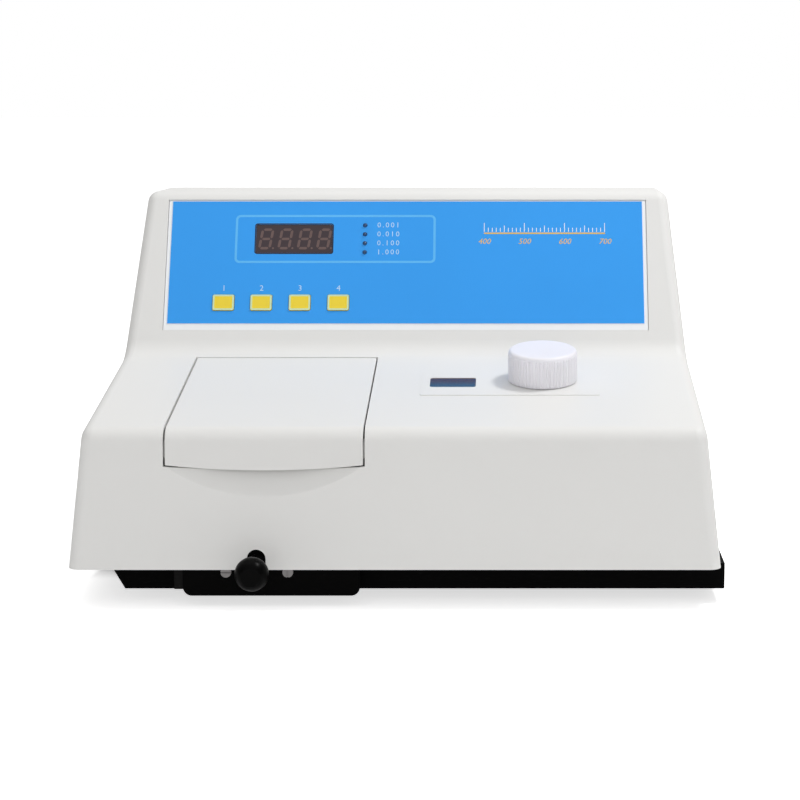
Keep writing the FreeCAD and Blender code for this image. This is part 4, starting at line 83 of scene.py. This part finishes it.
PANEL = node_face_frame("keypad_overlay", PANEL_NORMAL)
WINDOW_FACE = node_face_frame("display_window", PANEL_NORMAL)
DIAL_FACE = node_face_frame("wavelength_dial", DECK_NORMAL)


# Shader nodes

NOISE_DETAIL = 3.0


def shader(name):
    """A new node material with its nodes, links and shader."""
    material = bpy.data.materials.new(name)
    material.use_nodes = True
    nodes = material.node_tree.nodes
    return material, nodes, material.node_tree.links, nodes["Principled BSDF"]


def object_noise(nodes, links, scale, stretch=(1, 1, 1)):
    """Noise that lies still on the object, in its own metres."""
    coordinates = nodes.new("ShaderNodeTexCoord")
    mapping = nodes.new("ShaderNodeMapping")
    mapping.inputs["Scale"].default_value = stretch
    noise = nodes.new("ShaderNodeTexNoise")
    noise.inputs["Scale"].default_value = scale
    noise.inputs["Detail"].default_value = NOISE_DETAIL
    links.new(coordinates.outputs["Object"], mapping.inputs["Vector"])
    links.new(mapping.outputs["Vector"], noise.inputs["Vector"])
    return noise.outputs["Fac"]


def fade_node(nodes, links, source, start, end, first=0.0, last=1.0):
    """Goes from the first value to the last as the source passes from start to end."""
    fade = nodes.new("ShaderNodeMapRange")
    fade.inputs["From Min"].default_value = start
    fade.inputs["From Max"].default_value = end
    fade.inputs["To Min"].default_value = first
    fade.inputs["To Max"].default_value = last
    links.new(source, fade.inputs["Value"])
    return fade.outputs["Result"]


def math_node(nodes, links, operation, first, second=None):
    """One sum, product or other operation on one or two values."""
    node = nodes.new("ShaderNodeMath")
    node.operation = operation
    for socket, value in zip(node.inputs, (first, second)):
        if value is None:
            continue
        if isinstance(value, float):
            socket.default_value = value
        else:
            links.new(value, socket)
    return node.outputs["Value"]


def place_axes(nodes, links, coordinate):
    """The x, y and z of a kind of coordinate."""
    coordinates = nodes.new("ShaderNodeTexCoord")
    split = nodes.new("ShaderNodeSeparateXYZ")
    links.new(coordinates.outputs[coordinate], split.inputs["Vector"])
    return split.outputs


# Materials

BLOTCH_EDGES = (0.3, 0.7)
BUMP_DISTANCE = 0.2 * MM
SMEAR_SCALE = 60.0
SMEAR_ROUGHNESS = 0.05
ROUGHNESS_LIMITS = (0.02, 1.0)


def finish_material(name, color, roughness, spread, grain, bump, rough_spread=0.06, metallic=0.0,
                    stretch=(1, 1, 1), specular=0.5, blotch=9.0):
    """A surface with slow colour variation, a fine grain in its bump and uneven gloss."""
    material, nodes, links, principled = shader(name)
    ramp = nodes.new("ShaderNodeValToRGB")
    dark, light = ramp.color_ramp.elements
    dark.position, light.position = BLOTCH_EDGES
    dark.color = [c * (1 - spread) for c in color] + [1]
    light.color = [min(1.0, c * (1 + spread)) for c in color] + [1]
    links.new(object_noise(nodes, links, blotch), ramp.inputs["Fac"])
    links.new(ramp.outputs["Color"], principled.inputs["Base Color"])
    fine = object_noise(nodes, links, grain, stretch)
    least, most = ROUGHNESS_LIMITS
    rough = fade_node(nodes, links, fine, 0.0, 1.0, max(least, roughness - rough_spread),
                      min(most, roughness + rough_spread))
    links.new(rough, principled.inputs["Roughness"])
    relief = nodes.new("ShaderNodeBump")
    relief.inputs["Strength"].default_value = bump
    relief.inputs["Distance"].default_value = BUMP_DISTANCE
    links.new(fine, relief.inputs["Height"])
    links.new(relief.outputs["Normal"], principled.inputs["Normal"])
    principled.inputs["Metallic"].default_value = metallic
    principled.inputs["Specular IOR Level"].default_value = specular
    return material


def glass_material(name, color, roughness, alpha, specular=0.5):
    """A tinted clear part: part of the light passes straight through."""
    material, nodes, links, principled = shader(name)
    smears = object_noise(nodes, links, SMEAR_SCALE)
    rough = fade_node(nodes, links, smears, 0.0, 1.0, roughness, roughness + SMEAR_ROUGHNESS)
    links.new(rough, principled.inputs["Roughness"])
    principled.inputs["Base Color"].default_value = (*color, 1)
    principled.inputs["Alpha"].default_value = alpha
    principled.inputs["Specular IOR Level"].default_value = specular
    return material


FINISHES = {
    "white_cover": dict(color=(0.81, 0.81, 0.795), roughness=0.50, spread=0.008, grain=2600, bump=0.05,
                        specular=0.3),
    "white_plate": dict(color=(0.92, 0.94, 0.96), roughness=0.45, spread=0.006, grain=2400, bump=0.03,
                        specular=0.3),
    "white_knob": dict(color=(0.89, 0.88, 0.95), roughness=0.42, spread=0.006, grain=2600, bump=0.03),
    "nylon": dict(color=(0.72, 0.71, 0.67), roughness=0.5, spread=0.03, grain=1500, bump=0.05),
    "yellow_key": dict(color=(0.90, 0.69, 0.035), roughness=0.42, spread=0.03, grain=2200, bump=0.05),
    "blue_overlay": dict(color=(0.035, 0.355, 0.93), roughness=0.40, spread=0.02, grain=2400, bump=0.03,
                         specular=0.3),
    "black_sheet": dict(color=(0.0015, 0.0015, 0.0015), roughness=0.55, spread=0.15, grain=2200, bump=0.10,
                        specular=0.03),
    "black_cast": dict(color=(0.005, 0.005, 0.005), roughness=0.62, spread=0.2, grain=1600, bump=0.25,
                       specular=0.1),
    "black_plastic": dict(color=(0.002, 0.002, 0.002), roughness=0.30, spread=0.15, grain=1700, bump=0.03,
                          rough_spread=0.03, specular=0.04),
    "rubber": dict(color=(0.006, 0.006, 0.006), roughness=0.8, spread=0.2, grain=1500, bump=0.2,
                   specular=0.1),
    "steel": dict(color=(0.55, 0.55, 0.56), roughness=0.28, spread=0.08, grain=900, bump=0.08, metallic=1.0,
                  stretch=(1, 1, 12)),
    "brass": dict(color=(0.72, 0.52, 0.24), roughness=0.3, spread=0.08, grain=900, bump=0.08, metallic=1.0),
    "mirror": dict(color=(0.88, 0.88, 0.9), roughness=0.04, spread=0.02, grain=500, bump=0.0,
                   rough_spread=0.02, metallic=1.0),
    "zinc_panel": dict(color=(0.52, 0.52, 0.52), roughness=0.4, spread=0.1, grain=1200, bump=0.1,
                       metallic=0.8, stretch=(20, 1, 1)),
    "screw_zinc": dict(color=(0.24, 0.23, 0.23), roughness=0.38, spread=0.1, grain=1200, bump=0.1,
                       metallic=0.9),
    "transformer_iron": dict(color=(0.10, 0.09, 0.08), roughness=0.55, spread=0.2, grain=700, bump=0.2,
                             stretch=(1, 40, 1)),
    "smoked_window": dict(color=(0.052, 0.036, 0.042), roughness=0.16, spread=0.10, grain=700, bump=0.01,
                          specular=0.35),
    "display_body": dict(color=(0.03, 0.02, 0.02), roughness=0.5, spread=0.15, grain=1600, bump=0.1),
    "status_light": dict(color=(0.02, 0.07, 0.18), roughness=0.2, spread=0.15, grain=900, bump=0.01),
    "circuit_board": dict(color=(0.02, 0.16, 0.06), roughness=0.35, spread=0.2, grain=900, bump=0.1,
                          blotch=140),
    "dial_face": dict(color=(0.06, 0.13, 0.30), roughness=0.4, spread=0.08, grain=1500, bump=0.05),
    "white_print": dict(color=(0.86, 0.90, 0.94), roughness=0.5, spread=0.02, grain=1200, bump=0.02),
    "label_print": dict(color=(0.50, 0.74, 0.97), roughness=0.5, spread=0.02, grain=1200, bump=0.02,
                        specular=0.1),
    "pale_blue_print": dict(color=(0.13, 0.52, 0.97), roughness=0.45, spread=0.02, grain=1200, bump=0.02,
                            specular=0.1),
    "key_border_print": dict(color=(0.62, 0.80, 0.52), roughness=0.45, spread=0.02, grain=1200, bump=0.02),
    "dark_print": dict(color=(0.020, 0.018, 0.030), roughness=0.4, spread=0.10, grain=1200, bump=0.02,
                       specular=0.3),
    "gold_print": dict(color=(0.80, 0.52, 0.10), roughness=0.42, spread=0.05, grain=1200, bump=0.04),
    "segment_print": dict(color=(0.135, 0.085, 0.080), roughness=0.2, spread=0.04, grain=900, bump=0.01),
}
LENS_FRONT_COLOR = (0.055, 0.125, 0.205)
# Colour of the painted shade at the lens's rear edge.
LENS_REAR_PAINTED_SHADE = (0.090, 0.062, 0.085)
GLASSES = {
    "clear_glass": dict(color=(0.9, 0.95, 0.95), roughness=0.02, alpha=0.16),
    "window_lens": dict(color=LENS_FRONT_COLOR, roughness=0.12, alpha=0.80, specular=0.12),
}
MATERIALS = {name: finish_material(name, **look) for name, look in FINISHES.items()}
MATERIALS.update({name: glass_material(name, **look) for name, look in GLASSES.items()})

# Nodes that look different from the rest of their slot.
LOOKS = {"front_plate_screws": "screw_zinc", "panel_plate": "white_plate"}

# Where the painted shade on the lens starts and ends, as shares of its depth from the front edge.
LENS_PAINTED_SHADE = (0.15, 0.70)

KNOB_SCATTER = 0.6
KNOB_SCATTER_RADIUS = 3 * MM


def shade_lens(material):
    """The wavelength window's tint turns from blue at its front edge to a painted shade, a dark brown, at
    its rear edge.
    """
    nodes = material.node_tree.nodes
    links = material.node_tree.links
    low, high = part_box("wavelength_window")
    start, end = (low.y + (high.y - low.y) * share for share in LENS_PAINTED_SHADE)
    depth = fade_node(nodes, links, place_axes(nodes, links, "Object")["Y"], start, end)
    ramp = nodes.new("ShaderNodeValToRGB")
    front, rear = ramp.color_ramp.elements
    front.color = (*LENS_FRONT_COLOR, 1)
    rear.color = (*LENS_REAR_PAINTED_SHADE, 1)
    links.new(depth, ramp.inputs["Fac"])
    links.new(ramp.outputs["Color"], nodes["Principled BSDF"].inputs["Base Color"])


def soften(material, weight, radius):
    """Light that scatters a little way into a pale plastic."""
    principled = material.node_tree.nodes["Principled BSDF"]
    principled.inputs["Subsurface Weight"].default_value = weight
    principled.inputs["Subsurface Radius"].default_value = (radius, radius, radius)
    principled.inputs["Subsurface Scale"].default_value = 1.0


def dress_nodes():
    """Every carried-over node takes the material of its slot in the record, or its own from LOOKS."""
    shade_lens(MATERIALS["window_lens"])
    soften(MATERIALS["white_knob"], KNOB_SCATTER, KNOB_SCATTER_RADIUS)
    for entry in frame["record"]["subparts"]:
        mesh = frame["nodes"][entry["node"]].data
        mesh.materials.clear()
        mesh.materials.append(MATERIALS[LOOKS.get(entry["node"], entry["material_slot"])])


# Thin printed pieces

PRINT_THICKNESS = 0.05 * MM
SEGMENT_THICKNESS = 0.02 * MM
NUMBER_HALF_THICKNESS = 0.02 * MM
NUMBER_LIFT = 0.03 * MM


def add_piece(name, mesh, material, body):
    """A visible piece with this mesh, which moves with the body."""
    mesh.materials.clear()
    mesh.materials.append(MATERIALS[material])
    piece = bpy.data.objects.new(name, mesh)
    bpy.context.scene.collection.objects.link(piece)
    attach(piece, body)


def piece_from(name, bm, matrix, material, body):
    """A piece from a flat drawing, placed by a face frame."""
    bm.transform(matrix)
    mesh = bpy.data.meshes.new(name)
    bm.to_mesh(mesh)
    bm.free()
    add_piece(name, mesh, material, body)


def rounded_outline(width, height, corner, steps=6):
    """Points round a rectangle with arcs at its corners, anticlockwise from the lower right."""
    points = []
    for index, (sx, sy) in enumerate(((1, -1), (1, 1), (-1, 1), (-1, -1))):
        for step in range(steps + 1):
            angle = math.radians(-90 + 90 * index + 90 * step / steps)
            points.append(Vector((sx * (width / 2 - corner) + corner * math.cos(angle),
                                  sy * (height / 2 - corner) + corner * math.sin(angle), 0)))
    return points


def add_plate(bm, outline, x, y, thickness):
    """A thin closed plate with the given outline, its underside at height 0."""
    low = [bm.verts.new(p + Vector((x, y, 0))) for p in outline]
    high = [bm.verts.new(p + Vector((x, y, thickness))) for p in outline]
    bm.faces.new(list(reversed(low)))
    bm.faces.new(high)
    for i in range(len(outline)):
        j = (i + 1) % len(outline)
        bm.faces.new((low[i], low[j], high[j], high[i]))


def add_ring(bm, outer, inner, x, y, thickness):
    """A thin closed ring between two outlines with as many points."""
    def loop(points, z):
        return [bm.verts.new(p + Vector((x, y, z))) for p in points]
    rings = [loop(outer, 0), loop(outer, thickness), loop(inner, thickness), loop(inner, 0)]
    count = len(outer)
    for a, b in ((0, 1), (1, 2), (2, 3), (3, 0)):
        for i in range(count):
            j = (i + 1) % count
            bm.faces.new((rings[a][i], rings[a][j], rings[b][j], rings[b][i]))


def ring_piece(name, size, line, corners, x, y, matrix, material, body):
    """A printed line round a rectangle, with the radii of its outer and inner corners."""
    width, height = size
    outer_corner, inner_corner = corners
    bm = bmesh.new()
    outer = rounded_outline(width, height, outer_corner)
    inner = rounded_outline(width - 2 * line, height - 2 * line, inner_corner)
    add_ring(bm, outer, inner, x, y, PRINT_THICKNESS)
    piece_from(name, bm, matrix, material, body)


def number_piece(name, text, size, matrix, x, y, material, body, turn=0.0, slant=0.0, spacing=1.0):
    """A plain number as a thin mesh, centred on x and y of the face."""
    curve = bpy.data.curves.new(name, "FONT")
    curve.body = text
    curve.size = size
    curve.shear = slant
    curve.space_character = spacing
    curve.align_x = "CENTER"
    curve.align_y = "CENTER"
    curve.extrude = NUMBER_HALF_THICKNESS
    curve.resolution_u = 2
    source = bpy.data.objects.new(name + "_source", curve)
    mesh = bpy.data.meshes.new_from_object(source)
    bpy.data.objects.remove(source)
    bpy.data.curves.remove(curve)
    mesh.transform(matrix @ Matrix.Translation((x, y, NUMBER_LIFT)) @ Matrix.Rotation(turn, 4, "Z"))
    add_piece(name, mesh, material, body)


def tick_length(index, lengths):
    """The length of a scale's tick, from those of the tenth, the fifth and the other ticks."""
    tenth, fifth, other = lengths
    return tenth if index % 10 == 0 else fifth if index % 5 == 0 else other


# Prints on the panel: x from the overlay's middle, heights from its lower edge

OVERLAY_HALF_HEIGHT = 42.15 * MM

OUTLINE_SIZE = (129.7 * MM, 33.5 * MM)
OUTLINE_LINE = 1.5 * MM
OUTLINE_CORNERS = (3.2 * MM, 1.9 * MM)
OUTLINE_X = -46.3 * MM
OUTLINE_HEIGHT = 58.05 * MM

DISPLAY_EDGE_SIZE = (51.0 * MM, 21.3 * MM)
DISPLAY_EDGE_LINE = 0.65 * MM
DISPLAY_EDGE_CORNERS = (1.7 * MM, 1.05 * MM)
DISPLAY_X = -73.0 * MM
DISPLAY_HEIGHT = 58.2 * MM

KEY_WORDS = ("one", "two", "three", "four")
KEY_WIDTH = 13.7 * MM
KEY_DEPTH = 10.6 * MM
KEY_BORDER = 1.1 * MM
KEY_BORDER_SLACK = 0.1 * MM
KEY_BORDER_CORNERS = (1.2 * MM, 0.6 * MM)
KEY_NUMBER_SIZE = 5.4 * MM
KEY_NUMBER_HEIGHT = 23.8 * MM

LIGHT_NUMBERS = ("0.001", "0.010", "0.100", "1.000")
LIGHT_NUMBER_SIZE = 5.0 * MM
LIGHT_NUMBER_SPACING = 1.35
LIGHT_NUMBER_X = -12.1 * MM
LIGHT_PITCH = 6.27 * MM

RULE_LEFT = 50.0 * MM
RULE_STEP = 2.6 * MM
RULE_STEPS = 30
RULE_TICKS = (6.2 * MM, 4.4 * MM, 2.8 * MM)
RULE_TICK_WIDTH = 0.45 * MM
RULE_TICK_CORNER = 0.1 * MM
RULE_TICK_FOOT = 63.0 * MM
RULE_LINE_WIDTH = 1.0 * MM
RULE_LINE_CORNER = 0.4 * MM
RULE_LINE_EXTRA = 0.6 * MM
RULE_LINE_HEIGHT = 62.0 * MM
RULE_NUMBERS = ("400", "500", "600", "700")
RULE_NUMBER_SIZE = 5.4 * MM
RULE_NUMBER_HEIGHT = 56.2 * MM
RULE_NUMBER_SLANT = 0.25


def panel_y(height):
    """The panel drawing's y of a height above the overlay's lower edge."""
    return height - OVERLAY_HALF_HEIGHT


def key_x(n):
    """The x of the middle of a key."""
    low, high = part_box("key_%d" % n)
    return (low.x + high.x) / 2


def make_panel_print():
    """Pale blue outline, dark edge of the display, small plain numbers and the graduated rule."""
    ring_piece("display_outline_print", OUTLINE_SIZE, OUTLINE_LINE, OUTLINE_CORNERS, OUTLINE_X,
               panel_y(OUTLINE_HEIGHT), PANEL, "pale_blue_print", "frame")
    ring_piece("display_edge_print", DISPLAY_EDGE_SIZE, DISPLAY_EDGE_LINE, DISPLAY_EDGE_CORNERS, DISPLAY_X,
               panel_y(DISPLAY_HEIGHT), PANEL, "dark_print", "frame")
    for n in range(1, len(KEY_WORDS) + 1):
        number_piece("key_number_%d" % n, str(n), KEY_NUMBER_SIZE, PANEL, key_x(n),
                     panel_y(KEY_NUMBER_HEIGHT), "label_print", "frame")
    for index, text in enumerate(LIGHT_NUMBERS):
        steps_up = (len(LIGHT_NUMBERS) - 1) / 2 - index
        number_piece("light_number_%d" % (index + 1), text, LIGHT_NUMBER_SIZE, PANEL, LIGHT_NUMBER_X,
                     panel_y(DISPLAY_HEIGHT + steps_up * LIGHT_PITCH), "label_print", "frame",
                     spacing=LIGHT_NUMBER_SPACING)
    make_rule_print()


def make_rule_print():
    """A graduated rule in gold and white fills the title's place, numbered in hundreds."""
    bm = bmesh.new()
    for index in range(RULE_STEPS + 1):
        tall = tick_length(index, RULE_TICKS)
        bar = rounded_outline(RULE_TICK_WIDTH, tall, RULE_TICK_CORNER, 2)
        height = RULE_TICK_FOOT + tall / 2
        add_plate(bm, bar, RULE_LEFT + index * RULE_STEP, panel_y(height), PRINT_THICKNESS)
    piece_from("rule_ticks_print", bm, PANEL, "white_print", "frame")
    bm = bmesh.new()
    length = RULE_STEPS * RULE_STEP
    line = rounded_outline(length + RULE_LINE_EXTRA, RULE_LINE_WIDTH, RULE_LINE_CORNER, 3)
    add_plate(bm, line, RULE_LEFT + length / 2, panel_y(RULE_LINE_HEIGHT), PRINT_THICKNESS)
    piece_from("rule_line_print", bm, PANEL, "gold_print", "frame")
    for index, text in enumerate(RULE_NUMBERS):
        number_piece("rule_number_%d" % (index + 1), text, RULE_NUMBER_SIZE, PANEL,
                     RULE_LEFT + index * 10 * RULE_STEP, panel_y(RULE_NUMBER_HEIGHT), "gold_print", "frame",
                     slant=RULE_NUMBER_SLANT)


def make_key_borders():
    """A pale border round the top of each key, which moves with the key."""
    size = (KEY_WIDTH - KEY_BORDER_SLACK, KEY_DEPTH - KEY_BORDER_SLACK)
    for index, word in enumerate(KEY_WORDS):
        top = node_face_frame("key_%d" % (index + 1), PANEL_NORMAL)
        ring_piece("key_border_%d" % (index + 1), size, KEY_BORDER, KEY_BORDER_CORNERS, 0, 0, top,
                   "key_border_print", "key_" + word)


# Unlit digits behind the smoked window

DIGIT_COUNT = 4
DIGIT_PITCH = 12.5 * MM
DIGIT_SHIFT = 0.6 * MM
DIGIT_WIDTH = 6.6 * MM
DIGIT_TALL = 12.9 * MM
DIGIT_SLANT = math.tan(math.radians(9))
SEGMENT_WIDTH = 1.7 * MM
LEVEL_SHORTENING = 1.6 * SEGMENT_WIDTH
UPRIGHT_SHORTENING = 1.4 * SEGMENT_WIDTH
POINT_SIZE = 1.4 * MM
POINT_CORNER = 0.69 * MM
POINT_FROM_DIGIT = 1.7 * MM
POINT_SLANT_SHARE = 0.4


def digit_segments():
    """The middle, length and direction, level or upright, of a digit's seven segments."""
    level = DIGIT_WIDTH - LEVEL_SHORTENING
    upright = DIGIT_TALL / 2 - UPRIGHT_SHORTENING
    segments = [(0, y, level, False) for y in (DIGIT_TALL / 2, 0, -DIGIT_TALL / 2)]
    for sx in (-1, 1):
        for sy in (-1, 1):
            segments.append((sx * DIGIT_WIDTH / 2, sy * DIGIT_TALL / 4, upright, True))
    return segments


def segment_outline(length, upright):
    """Corners of a bar with pointed ends."""
    half = length / 2
    nose = SEGMENT_WIDTH / 2
    outline = [(-half, -nose), (half, -nose), (half + nose, 0), (half, nose), (-half, nose),
               (-half - nose, 0)]
    return [(-b, a) for a, b in outline] if upright else outline


def make_digits():
    """Four slanted seven-segment digits seen through the smoked window, each with its point."""
    bm = bmesh.new()
    point = rounded_outline(POINT_SIZE, POINT_SIZE, POINT_CORNER, 4)
    point_x = DIGIT_WIDTH / 2 + POINT_FROM_DIGIT - DIGIT_TALL / 2 * DIGIT_SLANT * POINT_SLANT_SHARE
    for digit in range(DIGIT_COUNT):
        middle = (digit - (DIGIT_COUNT - 1) / 2) * DIGIT_PITCH + DIGIT_SHIFT
        for x, y, length, upright in digit_segments():
            corners = [Vector((middle + x + a + (y + b) * DIGIT_SLANT, y + b, 0))
                       for a, b in segment_outline(length, upright)]
            add_plate(bm, corners, 0, 0, SEGMENT_THICKNESS)
        add_plate(bm, point, middle + point_x, -DIGIT_TALL / 2, SEGMENT_THICKNESS)
    piece_from("digit_segments", bm, WINDOW_FACE, "segment_print", "frame")


# Dial scale

DIAL_RIM = 49.0 * MM
DIAL_TICK_COUNT = 120
DIAL_TICKS = (6.0 * MM, 4.2 * MM, 2.6 * MM)
DIAL_TICK_HALF_WIDTH = 0.15 * MM
DIAL_NUMBERS = range(300, 851, 50)
DIAL_NUMBER_SIZE = 5.6 * MM
DIAL_NUMBER_RADIUS = 38.5 * MM


def make_dial_print():
    """White ticks and plain numbers round the wavelength dial, seen in turn through its window."""
    bm = bmesh.new()
    side = DIAL_TICK_HALF_WIDTH
    for index in range(DIAL_TICK_COUNT):
        turn = Matrix.Rotation(2 * math.pi * index / DIAL_TICK_COUNT, 3, "Z")
        foot = DIAL_RIM - tick_length(index, DIAL_TICKS)
        corners = [turn @ Vector((a, b, 0))
                   for a, b in ((foot, -side), (DIAL_RIM, -side), (DIAL_RIM, side), (foot, side))]
        add_plate(bm, corners, 0, 0, PRINT_THICKNESS)
    piece_from("dial_ticks", bm, DIAL_FACE, "white_print", "dial")
    for index, number in enumerate(DIAL_NUMBERS):
        angle = 2 * math.pi * index / len(DIAL_NUMBERS)
        number_piece("dial_number_%d" % (index + 1), str(number), DIAL_NUMBER_SIZE, DIAL_FACE,
                     DIAL_NUMBER_RADIUS * math.cos(angle), DIAL_NUMBER_RADIUS * math.sin(angle),
                     "white_print", "dial", turn=angle + math.pi / 2)


# Stage, light and camera, in metres, watts and degrees

FLOOR_HALF_SIZE = 6.0
FLOOR_CORNER = 0.5
FLOOR_THICKNESS = 0.01
FLOOR_GAP = 0.2 * MM
FLOOR_GLOW = 0.66

# How far inside the CAD box the floor's glow starts and is full, at the sides, the front and the rear.
GLOW_SIDE = (12 * MM, 4 * MM)
GLOW_FRONT = (140 * MM, 100 * MM)
GLOW_REAR = (15 * MM, 5 * MM)

WORLD_COLOR = (1.0, 0.99, 0.985)
WORLD_STRENGTH = 0.73
WORLD_SIDE_STRENGTH = 0.12
WORLD_SIDE_FADE = (0.45, 0.95)

# Each lamp's place, size and power. All look at the same point.
LAMPS = {
    "key_lamp": ((0.85, 0.1, 1.6), (0.3, 0.3), 12.5),
    "front_lamp": ((0.3, -2.2, 0.7), (1.6, 0.8), 4.2),
    "top_lamp": ((-0.3, 0.3, 1.9), (1.6, 1.2), 2.5),
}
LAMP_TARGET = (0, 0, 0.1)

CAMERA_PLACE = (0.0615, -1.3433, 0.3342)
CAMERA_PITCH = 80.0
CAMERA_LENS = 97.65
CAMERA_SENSOR = 36.0
CAMERA_SHIFT_X = -0.1275
CAMERA_CLIP = (0.05, 50.0)


def floor_material():
    """White paper with a glow that only the camera sees, so that it shows white round the soft shadow.

    The glow stops under the object, where gaps would show it."""
    material = finish_material("floor_paper", (0.93, 0.93, 0.93), roughness=0.9, spread=0.004, grain=300,
                               bump=0.0, rough_spread=0.02, specular=0.0)
    nodes = material.node_tree.nodes
    links = material.node_tree.links
    principled = nodes["Principled BSDF"]
    axes = place_axes(nodes, links, "Object")
    low, high = (Vector(corner) for corner in CAD_BOX)
    aside = fade_node(nodes, links, math_node(nodes, links, "ABSOLUTE", axes["X"]),
                      *(high.x - inset for inset in GLOW_SIDE))
    ahead = fade_node(nodes, links, axes["Y"], *(low.y + inset for inset in GLOW_FRONT))
    behind = fade_node(nodes, links, axes["Y"], *(high.y - inset for inset in GLOW_REAR))
    outside = math_node(nodes, links, "MAXIMUM", aside, math_node(nodes, links, "MAXIMUM", ahead, behind))
    path = nodes.new("ShaderNodeLightPath")
    seen = math_node(nodes, links, "MULTIPLY", path.outputs["Is Camera Ray"], FLOOR_GLOW)
    links.new(math_node(nodes, links, "MULTIPLY", seen, outside), principled.inputs["Emission Strength"])
    principled.inputs["Emission Color"].default_value = (1, 1, 1, 1)
    return material


def make_stage():
    """A pale floor that keeps the soft shadow and shows white to the camera."""
    bm = bmesh.new()
    outline = rounded_outline(2 * FLOOR_HALF_SIZE, 2 * FLOOR_HALF_SIZE, FLOOR_CORNER)
    add_plate(bm, outline, 0, 0, FLOOR_THICKNESS)
    bm.transform(Matrix.Translation((0, 0, -FLOOR_THICKNESS - FLOOR_GAP)))
    mesh = bpy.data.meshes.new("floor")
    bm.to_mesh(mesh)
    bm.free()
    mesh.materials.append(floor_material())
    floor = bpy.data.objects.new("floor", mesh)
    bpy.context.scene.collection.objects.link(floor)


def area_light(name, place, size, power):
    """A soft rectangular lamp that looks at the lamps' target."""
    data = bpy.data.lights.new(name, "AREA")
    data.shape = "RECTANGLE"
    data.size, data.size_y = size
    data.energy = power
    lamp = bpy.data.objects.new(name, data)
    bpy.context.scene.collection.objects.link(lamp)
    lamp.location = place
    lamp.rotation_euler = (Vector(LAMP_TARGET) - Vector(place)).to_track_quat("-Z", "Y").to_euler()


def make_world():
    """A white world, darker to both sides, that the camera sees as plain white."""
    world = bpy.data.worlds.new("studio")
    bpy.context.scene.world = world
    world.use_nodes = True
    nodes = world.node_tree.nodes
    links = world.node_tree.links
    nodes.clear()
    seen = nodes.new("ShaderNodeBackground")
    seen.inputs["Color"].default_value = (1, 1, 1, 1)
    lit = nodes.new("ShaderNodeBackground")
    lit.inputs["Color"].default_value = (*WORLD_COLOR, 1)
    aside = math_node(nodes, links, "ABSOLUTE", place_axes(nodes, links, "Generated")["X"])
    strength = fade_node(nodes, links, aside, *WORLD_SIDE_FADE, WORLD_STRENGTH, WORLD_SIDE_STRENGTH)
    links.new(strength, lit.inputs["Strength"])
    path = nodes.new("ShaderNodeLightPath")
    mix = nodes.new("ShaderNodeMixShader")
    links.new(path.outputs["Is Camera Ray"], mix.inputs["Fac"])
    links.new(lit.outputs["Background"], mix.inputs[1])
    links.new(seen.outputs["Background"], mix.inputs[2])
    output = nodes.new("ShaderNodeOutputWorld")
    links.new(mix.outputs["Shader"], output.inputs["Surface"])


def make_camera():
    """The camera at the photograph's viewing angle."""
    data = bpy.data.cameras.new("camera")
    data.lens = CAMERA_LENS
    data.sensor_width = CAMERA_SENSOR
    data.shift_x = CAMERA_SHIFT_X
    data.clip_start, data.clip_end = CAMERA_CLIP
    camera = bpy.data.objects.new("camera", data)
    bpy.context.scene.collection.objects.link(camera)
    camera.location = CAMERA_PLACE
    camera.rotation_euler = (math.radians(CAMERA_PITCH), 0, 0)
    bpy.context.scene.camera = camera


dress_nodes()
make_panel_print()
make_key_borders()
make_digits()
make_dial_print()
make_stage()
make_world()
for lamp_name, (lamp_place, lamp_size, lamp_power) in LAMPS.items():
    area_light(lamp_name, lamp_place, lamp_size, lamp_power)
make_camera()
bpy.context.scene.view_settings.view_transform = "Standard"
